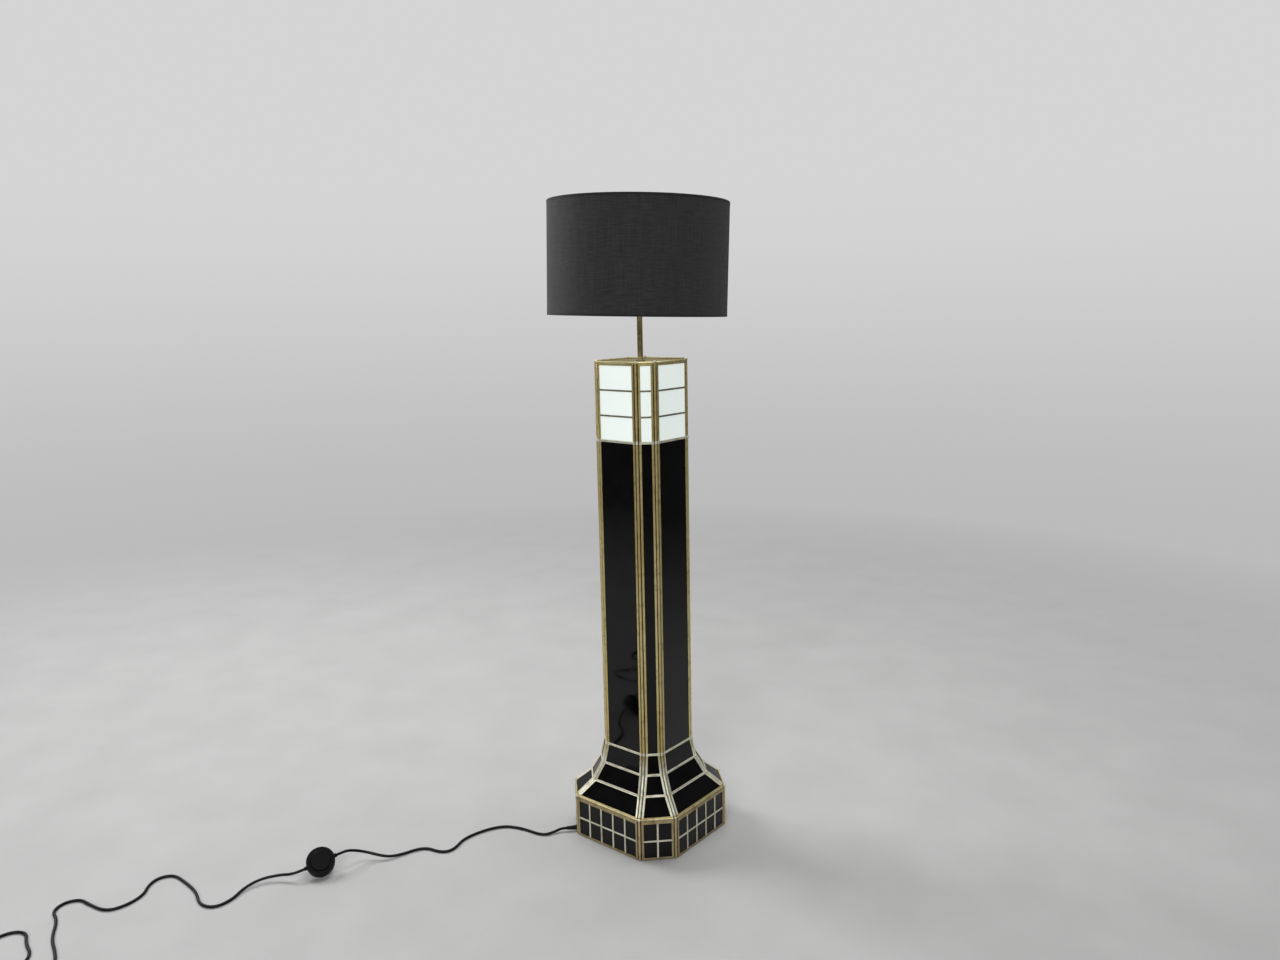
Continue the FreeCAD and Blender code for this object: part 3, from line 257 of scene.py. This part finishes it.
def fabric_shade(name, low, high):
    """Laminated cotton: fine crossing threads, slubs along both threads, soft sheen."""
    mat = Mat(name, high, 0.85, Sheen_Weight=0.10, Sheen_Roughness=0.45)
    x, y, level = mat.split()
    angle = mat.math("ARCTAN2", y, x)
    threads = [mat.math("ABSOLUTE", mat.math("SINE", mat.math("MULTIPLY", value, count)))
               for value, count in ((angle, WARP), (level, WEFT))]
    slubs = []
    for round_by, up_by in (ROUND_SLUBS, UPWARD_SLUBS):
        stretch = mat.node("CombineXYZ", {"X": mat.math("MULTIPLY", angle, round_by),
                                          "Y": mat.math("MULTIPLY", level, up_by)})
        slubs.append(mat.noise(1.0, 4, stretch.outputs["Vector"]))
    slub = mat.both("ADD", *slubs, 0.5, 0.5)
    mat.drive("Base Color", mat.blend(mat.span(slub, 0.40, 0.60), low, high))
    weave = mat.math("MULTIPLY", mat.math("ADD", *threads), 0.35)
    mat.bump(mat.math("ADD", weave, slub), 0.55, 0.0006)
    return mat.made


def plain(name, color, rough, grain=300, bump=0.15, metal=0.0, spread=0.25, gloss=0.5):
    """One colour, a little uneven in tone and gloss, with a fine grain."""
    mat = Mat(name, color, rough, metal=metal, Specular_IOR_Level=gloss)
    tone = mat.span(mat.noise(grain / 12, 4), 0.3, 0.7)
    high = tuple(min(1, part) for part in toned(color, 1 + spread))
    mat.drive("Base Color", mat.blend(tone, toned(color, 1 - spread), high))
    mat.drive("Roughness", mat.span(mat.noise(grain / 4, 3), 0.3, 0.7,
                                    rough - 0.06, rough + 0.08))
    mat.bump(mat.noise(grain, 3), bump, 0.0003)
    return mat.made


# brass tones: dark patina (also the painted shade in the seams), base, pale streaks, roughness
BRASS = brass_material("aged_brass", (0.19, 0.14, 0.05), (0.58, 0.46, 0.18),
                       (0.76, 0.65, 0.31), 0.40, tin_and_highlight=True)
# pale brass all over: tin and painted highlight
BRASS_PALE = brass_material("tin_and_highlight_brass", (0.30, 0.26, 0.15), (0.66, 0.63, 0.46),
                            (0.84, 0.82, 0.68), 0.40, streak=EVEN, metal=TIN_AND_HIGHLIGHT_METAL)
# darker brass for the bars between the opal panes, the door's bars and the stem's nut
BRASS_DARK = brass_material("dark_brass", (0.08, 0.07, 0.04), (0.22, 0.205, 0.13),
                            (0.36, 0.34, 0.24), 0.42)
BRASS_FLAT = brass_material("foot_brass", (0.12, 0.08, 0.04), (0.36, 0.27, 0.12),
                            (0.46, 0.37, 0.20), 0.42)
BRASS_BEAD = brass_material("foot_bead_brass", (0.13, 0.085, 0.045), (0.44, 0.33, 0.16),
                            (0.58, 0.46, 0.27), 0.36, tin_and_highlight=True)
BRASS_TOP = brass_material("plate_brass", (0.11, 0.08, 0.035), (0.32, 0.25, 0.10),
                           (0.44, 0.36, 0.17), 0.42, streak=EVEN)
BRASS_RIM = brass_material("rim_brass", (0.22, 0.16, 0.06), (0.74, 0.64, 0.30),
                           (0.90, 0.84, 0.52), 0.36, streak=EVEN)
BRASS_TUBE = brass_material("drawn_brass", (0.24, 0.17, 0.07), (0.64, 0.50, 0.24),
                            (0.76, 0.63, 0.36), 0.22, metal=0.9)
# corner angles, seen only through the grooves beside the beads: near-black, a painted shade in
# the grooves
GROOVE_SHADE = brass_material("groove_shade_brass", (0.012, 0.010, 0.007), (0.03, 0.025, 0.015),
                        (0.06, 0.05, 0.03), 0.6)
FABRIC = fabric_shade("shade_fabric", (0.020, 0.0198, 0.0215), (0.041, 0.0405, 0.0435))
HEM = fabric_shade("shade_hem", (0.011, 0.011, 0.012), (0.019, 0.019, 0.0195))
LINING = plain("shade_lining", (0.72, 0.71, 0.66), 0.6, grain=160, bump=0.05, spread=0.04)
CORD = plain("cord_sheath", (0.003, 0.003, 0.0031), 0.45, grain=700, bump=0.12, gloss=0.22)

# looks by material slot
LOOKS = {
    "brass": BRASS, "shade_fabric": FABRIC, "cord_black": CORD,
    "black_glass": glass_black(), "opal_glass": glass_opal(),
    "black_plastic": plain("black_plastic", (0.0025, 0.0025, 0.0026), 0.46,
                           grain=900, bump=0.25, gloss=0.16),
    "white_plastic": plain("white_plastic", (0.72, 0.72, 0.70), 0.45, spread=0.05),
    "plated_steel": plain("plated_steel", (0.62, 0.61, 0.58), 0.22, metal=1.0, spread=0.1),
    "spring_steel": plain("spring_steel", (0.42, 0.41, 0.38), 0.3, metal=1.0, spread=0.15),
    "painted_steel": plain("black_paint", (0.02, 0.02, 0.021), 0.5, grain=500),
    "painted_wire": plain("white_wire", (0.66, 0.65, 0.60), 0.35, spread=0.06),
    "pad_rubber": plain("pad_rubber", (0.02, 0.02, 0.02), 0.8, grain=600, bump=0.3),
    "bulb_glass": plain("frosted_bulb", (0.86, 0.85, 0.80), 0.28,
                        grain=120, bump=0.03, spread=0.03),
}
# looks of single nodes, where they differ from their slot's
OWN_LOOKS = {
    "stem_tube": BRASS_TUBE, "plinth_glazing_bars": BRASS_PALE,
    "plinth_frames": BRASS_FLAT, "base_corner_beads": BRASS_BEAD, "top_plate": BRASS_TOP,
    "flare_middle_frames": BRASS_PALE, "plinth_rim_beads": BRASS_RIM,
    "lantern_bars": BRASS_DARK, "door_bars": BRASS_DARK,
    # corner angles take the painted groove shade
    "plinth_corner_angles": GROOVE_SHADE, "flare_corner_angles": GROOVE_SHADE,
    "column_corner_angles": GROOVE_SHADE,
}
# easing of hard edges, in millimetres, and the nodes that have it
EASED = {
    0.15: ("post_hinge_knuckles", "door_hinge_knuckles"),
    0.4: ("top_plate",),
    0.5: ("plinth_frames", "shade_ring_nut"),
    0.6: ("plinth_glazing_bars", "flare_lower_frames", "flare_middle_frames",
          "flare_upper_frames", "column_frames_wide", "column_frames_narrow",
          "lantern_frames_wide", "lantern_frames_narrow", "lantern_bars", "door_frame",
          "door_bars", "upper_lampholder", "lantern_lampholder", "terminal_block"),
    0.8: ("switch_base", "switch_cover", "switch_button"),
    2.0: ("plug_body",),
}
WELD_GAP = 0.000002
HARD_EDGE = math.radians(35)


def paint(obj, material):
    obj.data.materials.clear()
    obj.data.materials.append(material)


def ease_edges(obj, width):
    """Round the hard edges with modifiers, so the mesh itself stays as it is."""
    weld = obj.modifiers.new("weld", "WELD")
    weld.merge_threshold = WELD_GAP
    ease = obj.modifiers.new("ease", "BEVEL")
    ease.width = width
    ease.segments = 2
    ease.limit_method = "ANGLE"
    ease.angle_limit = HARD_EDGE


for part in frame["record"]["subparts"]:
    node = part["node"]
    paint(NODES[node], OWN_LOOKS.get(node, LOOKS[part["material_slot"]]))
for millimetres, nodes in EASED.items():
    for node in nodes:
        ease_edges(NODES[node], millimetres / 1000)

# ------------------------------------------------------------------ cords

CORD_R = 0.0031
LIES = CORD_R    # height of the middle of a cord that lies on the floor
ROUTE_TO_SWITCH = [
    (-0.125491, -0.162157, 0.008), (-0.13539, -0.172056, 0.008), (-0.1416, -0.1885, 0.004),
    (-0.154, -0.2161, LIES), (-0.219, -0.2223, LIES), (-0.2693, -0.2475, LIES),
    (-0.2956, -0.3336, LIES), (-0.2732, -0.3858, LIES), (-0.2876, -0.412, LIES),
    (-0.3386, -0.4201, LIES), (-0.3559, -0.4779, LIES), (-0.3685, -0.5066, 0.008),
    (-0.4086, -0.5339, 0.02), (-0.4168, -0.5614, 0.033), (-0.417506, -0.580114, 0.038937),
    (-0.42367, -0.596742, 0.035858)]
ROUTE_TO_PLUG = [
    (-0.44833, -0.663258, 0.023542), (-0.456549, -0.685429, 0.019436),
    (-0.4875, -0.7002, 0.0135), (-0.5137, -0.7317, 0.0095), (-0.5173, -0.7709, 0.005),
    (-0.5002, -0.8056, LIES), (-0.502, -0.8451, LIES), (-0.5388, -0.8594, LIES),
    (-0.5894, -0.8398, LIES), (-0.6502, -0.8369, LIES), (-0.6935, -0.8386, LIES),
    (-0.7107, -0.8644, LIES), (-0.6999, -0.8934, LIES), (-0.6722, -0.9147, LIES),
    (-0.6612, -0.9536, LIES), (-0.6734, -0.9938, LIES), (-0.7324, -1.0054, LIES),
    (-0.764, -1.0085, LIES), (-0.7792, -1.0364, LIES), (-0.7645, -1.0646, LIES),
    (-0.7238, -1.0695, LIES), (-0.6649, -1.1026, LIES), (-0.6087, -1.1151, LIES),
    (-0.56, -1.1344, LIES), (-0.5603, -1.1793, LIES), (-0.6055, -1.193, LIES),
    (-0.6399, -1.1469, LIES), (-0.6902, -1.1404, LIES), (-0.7261, -1.1257, LIES),
    (-0.7537, -1.1403, LIES), (-0.7598, -1.1763, 0.0035), (-0.74467, -1.20592, 0.00685),
    (-0.716, -1.226, 0.00685)]


def flex(name, route, node):
    """Round cord along the route, in the place of the node's solid."""
    data = bpy.data.curves.new(name, "CURVE")
    data.dimensions = "3D"
    line = data.splines.new("NURBS")
    line.points.add(len(route) - 1)
    for point, place in zip(line.points, route):
        point.co = (*place, 1)
    line.order_u = 3
    line.use_endpoint_u = True
    line.resolution_u = 12
    data.bevel_depth = CORD_R
    data.bevel_resolution = 4
    data.use_fill_caps = True
    obj = bpy.data.objects.new(name, data)
    scene.collection.objects.link(obj)
    data.materials.append(CORD)
    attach(obj, "lamp")
    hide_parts(node)
    return obj


lamp_flex = flex("flex_to_switch", ROUTE_TO_SWITCH, "cord_lamp_to_switch")
plug_flex = flex("flex_to_plug", ROUTE_TO_PLUG, "cord_switch_to_plug")

# ------------------------------------------------------------------ meshes

FULL_TURN = 2 * math.pi


def new_piece(name, shaper, looks, smooth=35):
    """Object of the lamp's body from a finished mesh shaper."""
    mesh = bpy.data.meshes.new(name)
    shaper.normal_update()
    shaper.to_mesh(mesh)
    shaper.free()
    obj = bpy.data.objects.new(name, mesh)
    scene.collection.objects.link(obj)
    for look in looks:
        mesh.materials.append(look)
    mesh.set_sharp_from_angle(angle=math.radians(smooth))
    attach(obj, "lamp")
    return obj


def revolve(shaper, profile, steps, place=Matrix(), tag=0, start=0.0, sweep=FULL_TURN):
    """Turn a closed (radius, height) profile about Z, and cap it where it stops short."""
    full = sweep == FULL_TURN
    rings = []
    for i in range(steps if full else steps + 1):
        a = start + sweep * i / steps
        rings.append([shaper.verts.new(place @ Vector((r * math.cos(a), r * math.sin(a), z)))
                      for r, z in profile])
    count = len(profile)
    for i in range(steps):
        near, far = rings[i], rings[(i + 1) % len(rings)]
        for j in range(count):
            k = (j + 1) % count
            face = shaper.faces.new((near[j], far[j], far[k], near[k]))
            face.material_index = tag
            face.smooth = True
    if not full:
        shaper.faces.new(list(reversed(rings[0]))).material_index = tag
        shaper.faces.new(rings[-1]).material_index = tag


# ------------------------------------------------------------------ shade

SHADE_R, SHADE_LOW, SHADE_TOP = 0.200, 1.216, 1.461
WALL = 0.0012                            # cloth and lining together
HALF_WALL = WALL / 2
SHADE_STEPS = 192
PIVOT, LEAN, LEAN_YAW = 1.385, math.radians(1.8), math.radians(39.5)
LEANT = (Matrix.Translation((0, 0, PIVOT)) @ Matrix.Rotation(LEAN_YAW, 4, "Z")
         @ Matrix.Rotation(LEAN, 4, "Y") @ Matrix.Rotation(-LEAN_YAW, 4, "Z"))
CLOTH, INSIDE, BINDING = 0, 1, 2         # material indexes of the drum
HEM_WIDE, HEM_LIP, HEM_FADE, HEM_ROUND = 0.0052, 0.0003, 0.0006, 0.0012
TUCK = 0.0001                            # how deep one layer sinks into the next
SEAM_FROM, SEAM_SWEEP = math.radians(150), 0.06
SEAM_PROUD, SEAM_SHORT = 0.00035, 0.005


def hem_profile(edge, inward):
    """Binding folded over one edge of the drum, with softly rounded shoulders."""
    out, inner = SHADE_R + HEM_LIP, SHADE_R - WALL - HEM_LIP
    mid, half = SHADE_R - HALF_WALL, (out - inner) / 2
    foot, shoulder = edge + inward * HEM_WIDE, edge + inward * (HEM_WIDE - HEM_FADE)
    points = [(SHADE_R - TUCK, foot), (out - 2 * TUCK, foot), (out, shoulder)]
    for i in range(7):
        a = math.pi * i / 6
        points.append((mid + half * math.cos(a),
                       edge + inward * HEM_ROUND * (1 - math.sin(a))))
    points += [(inner, shoulder), (inner + 2 * TUCK, foot), (SHADE_R - WALL + TUCK, foot)]
    return points if inward < 0 else list(reversed(points))


def drum_shade():
    """Cloth drum with its lining, hems and glued overlap, leaning as in the photograph."""
    low, high = SHADE_LOW - PIVOT, SHADE_TOP - PIVOT
    bottom, top = low + HEM_FADE, high - HEM_FADE
    middle, lining = SHADE_R - HALF_WALL, SHADE_R - WALL
    drum = bmesh.new()
    revolve(drum, [(middle, bottom), (SHADE_R, bottom), (SHADE_R, low + 0.08),
                   (SHADE_R, low + 0.16), (SHADE_R, top), (middle, top)],
            SHADE_STEPS, LEANT, CLOTH)
    revolve(drum, [(lining, bottom), (middle, bottom), (middle, top), (lining, top)],
            SHADE_STEPS, LEANT, INSIDE)
    for edge, inward in ((low, 1), (high, -1)):
        revolve(drum, hem_profile(edge, inward), SHADE_STEPS, LEANT, BINDING)
    # glued overlap of the cloth, away from the photograph's view
    seam_in, seam_out = SHADE_R - TUCK, SHADE_R + SEAM_PROUD
    seam_low, seam_top = low + SEAM_SHORT, high - SEAM_SHORT
    revolve(drum, [(seam_in, seam_low), (seam_out, seam_low),
                   (seam_out, seam_top), (seam_in, seam_top)],
            4, LEANT, CLOTH, start=SEAM_FROM, sweep=SEAM_SWEEP)
    bmesh.ops.recalc_face_normals(drum, faces=drum.faces)
    return drum


shade = new_piece("drum_shade", drum_shade(), [FABRIC, LINING, HEM])
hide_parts("shade_shell")

# ------------------------------------------------------------------ solder and fittings

DROP = (0.0040, 0.0030, 0.0026)          # half sizes: along, up, out
DROP_SPREAD = 0.18                       # how much the drops differ in size
DROP_LEAN = {"rim": 0.45, "two": 0.65, "one": 0.33, "neck": 0.12}
CORNER_OUT = ((0.38, -0.92, 0.0), (0.92, -0.38, 0.0))   # out of each corner of a chamfer
SINK, TOP_SINK, TOP_RAISE = 0.0022, 0.0028, 0.0036
SMOOTH_BLOB = 80

BAR_Z, BAR_PITCH = 0.046, 0.036          # level bar of the plinth, and its upright bars
BAR_ENDS = (0.0070, 0.0882)              # heights where the upright bars meet the frame
FRAME_SIDE = 0.0057 + 0.005              # corner seam and came, beside the level bar
CROSSING, MEETING, SPOT_DEEP = 0.0024, 0.0019, 0.0006


def blob(shaper, place, out, size, seed):
    """Flattened drop of solder lying on a seam; out is the way it faces."""
    out = Vector(out).normalized()
    along = out.cross(Vector((0, 0, 1))).normalized()
    rise = along.cross(out)
    axes = Matrix((along * size[0], rise * size[1], out * size[2])).transposed().to_4x4()
    made = bmesh.ops.create_icosphere(shaper, subdivisions=2, radius=1)
    for vert in made["verts"]:
        v = vert.co
        wobble = 1 + 0.14 * math.sin(5.1 * v.x + 3.7 * v.y + seed) * math.cos(4.3 * v.z + seed)
        vert.co = Vector(place) + axes @ (v * wobble)


def solder_drops():
    """A drop on each corner of each came ring."""
    shaper = bmesh.new()
    seed = 0
    for ring, (z, half, leg) in RINGS.items():
        corners = ((half - leg, -half, 0), (half, leg - half, 0))
        sink, height = (TOP_SINK, z + TOP_RAISE) if ring == "top" else (SINK, z)
        tilt = Vector((0, 0, DROP_LEAN.get(ring, 0.0)))
        for index in range(8):
            seed += 1
            spin = Matrix.Rotation(math.radians(90 * (index // 2)), 3, "Z")
            out = spin @ Vector(CORNER_OUT[index % 2])
            place = spin @ Vector(corners[index % 2]) - out * sink + Vector((0, 0, height))
            scale = 1.0 + DROP_SPREAD * math.sin(seed * 2.4)
            blob(shaper, place, out + tilt, [half_size * scale for half_size in DROP], seed)
    return shaper


def bar_spots():
    """Small spots where the plinth's glazing bars cross and meet their frames."""
    shaper = bmesh.new()
    seed = 8 * len(RINGS)
    _, half, leg = RINGS["rim"]
    for index in range(8):
        spin = Matrix.Rotation(math.radians(45 * index), 3, "Z")
        if index % 2 == 0:      # wide face
            reach, half_width, columns = half, half - leg, (-1.5, -0.5, 0.5, 1.5)
        else:                   # chamfer
            reach = (2 * half - leg) / math.sqrt(2)
            half_width, columns = leg / math.sqrt(2), (0,)
        half_width -= FRAME_SIDE
        marks = [(column * BAR_PITCH, BAR_Z, CROSSING) for column in columns]
        marks += [(column * BAR_PITCH, z, MEETING) for column in columns for z in BAR_ENDS]
        marks += [(way * half_width, BAR_Z, MEETING) for way in (-1, 1)]
        for x, z, size in marks:
            seed += 1
            blob(shaper, spin @ Vector((x, 0.0001 - reach, z)), spin @ Vector((0, -1, 0)),
                 (size * 1.1, size, SPOT_DEEP), seed)
    return shaper


# Raised rim round the top plate: a came standing on the lantern's edge.
# Its section is given as inset from the edge and height over the ring.
CAME_LOW, CAME_HIGH, CAME_WIDE = 0.0002, 0.0042, 0.0040
CAME_SECTION = (
    (0.0, CAME_LOW), (-0.0002, CAME_HIGH - 0.0012), (0.0006, CAME_HIGH - 0.0003),
    (0.0014, CAME_HIGH), (CAME_WIDE - 0.0014, CAME_HIGH),
    (CAME_WIDE - 0.0006, CAME_HIGH - 0.0003), (CAME_WIDE, CAME_HIGH - 0.0012),
    (CAME_WIDE - 0.0002, CAME_LOW))
LEG_INSET = 2 - math.sqrt(2)             # how much a chamfer's leg loses per inset


def octagon(half, leg, z):
    flat = half - leg
    return [Vector((x, y, z)) for x, y in
            ((flat, -half), (half, -flat), (half, flat), (flat, half),
             (-flat, half), (-half, flat), (-half, -flat), (-flat, -half))]


def top_came():
    half, leg = NECK
    shaper = bmesh.new()
    loops = [[shaper.verts.new(corner) for corner in
              octagon(half - inset, leg - inset * LEG_INSET, TOP_Z + height)]
             for inset, height in CAME_SECTION]
    for near, far in zip(loops, loops[1:] + loops[:1]):
        for i in range(8):
            k = (i + 1) % 8
            shaper.faces.new((near[i], near[k], far[k], far[i]))
    bmesh.ops.recalc_face_normals(shaper, faces=shaper.faces)
    return shaper


# Low flange nut where the stem stands on the top plate: radius, height over the plate.
PLATE_TOP = 1.1162
NUT_PROFILE = ((0.0063, 0), (0.0105, 0), (0.0107, 0.0006), (0.0104, 0.0018),
               (0.0090, 0.0026), (0.0078, 0.0030), (0.0073, 0.0044), (0.0063, 0.0046))


def flange_nut():
    shaper = bmesh.new()
    revolve(shaper, [(radius, PLATE_TOP + height) for radius, height in NUT_PROFILE], 48)
    bmesh.ops.recalc_face_normals(shaper, faces=shaper.faces)
    return shaper


new_piece("solder_joints", solder_drops(), [BRASS_PALE], smooth=SMOOTH_BLOB)
new_piece("bar_solder_spots", bar_spots(), [BRASS_PALE], smooth=SMOOTH_BLOB)
new_piece("top_rim_came", top_came(), [BRASS_RIM])
new_piece("stem_flange_nut", flange_nut(), [BRASS_DARK])

# ------------------------------------------------------------------ stage

FLOOR_R, FLOOR_PLACE = 4.2, (-0.3, -0.3, -0.0002)
THIN_FROM, THIN_TO = 1.6, FLOOR_R - 0.2  # where the floor thins out to nothing


def floor_material():
    """Pale matt floor that thins out to nothing near its edge."""
    mat = Mat("pale_floor", (0.5, 0.5, 0.5), 0.9)
    tone = mat.span(mat.noise(5, 4), 0.3, 0.7)
    mat.drive("Base Color", mat.blend(tone, (0.46, 0.46, 0.457), (0.50, 0.50, 0.497)))
    mat.bump(mat.noise(60, 4), 0.2, 0.0003)
    x, y, _ = mat.split()
    squares = mat.math("ADD", mat.math("POWER", x, 2.0), mat.math("POWER", y, 2.0))
    mat.drive("Alpha", mat.span(mat.math("SQRT", squares), THIN_FROM, THIN_TO, 1.0, 0.0))
    return mat.made


def lay_floor():
    mesh = bpy.data.meshes.new("floor")
    shaper = bmesh.new()
    bmesh.ops.create_circle(shaper, cap_ends=True, radius=FLOOR_R, segments=96)
    shaper.to_mesh(mesh)
    shaper.free()
    floor = bpy.data.objects.new("floor", mesh)
    scene.collection.objects.link(floor)
    floor.location = FLOOR_PLACE
    paint(floor, floor_material())


UPWARD, GLOW_WAY = (0, 0, 1), (-0.62, 0.75, 0.22)
# direction, then the span of the angle's cosine and the strengths at its two ends
BACKDROP = (UPWARD, -0.22, 0.12, 0.50, 0.66)
AMBIENT = (GLOW_WAY, 0.25, 0.85, 0.075, 0.28)


def build_world():
    """A pale backdrop behind the lamp, and a softer light from the room round it."""
    world = bpy.data.worlds.new("studio")
    scene.world = world
    world.use_nodes = True
    nodes, links = world.node_tree.nodes, world.node_tree.links
    sky = nodes.new("ShaderNodeTexCoord").outputs["Generated"]

    def glow(background, color, way, low, high, weak, strong):
        """Strength that grows smoothly with how far the view turns to one direction."""
        toward = nodes.new("ShaderNodeVectorMath")
        toward.operation = "DOT_PRODUCT"
        toward.inputs[1].default_value = way
        links.new(sky, toward.inputs[0])
        grow = nodes.new("ShaderNodeMapRange")
        grow.interpolation_type = "SMOOTHSTEP"
        for key, number in (("From Min", low), ("From Max", high),
                            ("To Min", weak), ("To Max", strong)):
            grow.inputs[key].default_value = number
        links.new(toward.outputs["Value"], grow.inputs["Value"])
        background.inputs["Color"].default_value = color
        links.new(grow.outputs["Result"], background.inputs["Strength"])

    backdrop = nodes["Background"]
    glow(backdrop, (1, 1, 1.004, 1), *BACKDROP)
    ambient = nodes.new("ShaderNodeBackground")
    glow(ambient, (1, 1, 1.01, 1), *AMBIENT)
    mix = nodes.new("ShaderNodeMixShader")
    links.new(nodes.new("ShaderNodeLightPath").outputs["Is Camera Ray"], mix.inputs[0])
    links.new(ambient.outputs[0], mix.inputs[1])
    links.new(backdrop.outputs[0], mix.inputs[2])
    links.new(mix.outputs[0], nodes["World Output"].inputs[0])


def softbox(name, place, aim, size, power):
    data = bpy.data.lights.new(name, "AREA")
    data.shape = "RECTANGLE"
    data.size, data.size_y = size
    data.energy = power
    obj = bpy.data.objects.new(name, data)
    obj.location = place
    obj.rotation_euler = (Vector(aim) - Vector(place)).to_track_quat("-Z", "Y").to_euler()
    scene.collection.objects.link(obj)


lay_floor()
build_world()
softbox("key", (-4.3, -0.6, 3.9), (-0.1, -0.1, 0.5), (2.2, 2.2), 165)
softbox("overhead", (-0.1, 0.9, 4.2), (-0.1, -0.2, 0), (3.0, 2.4), 105)
softbox("front", (2.1, -4.3, 3.2), (0, 0, 0.7), (2.6, 2.0), 125)
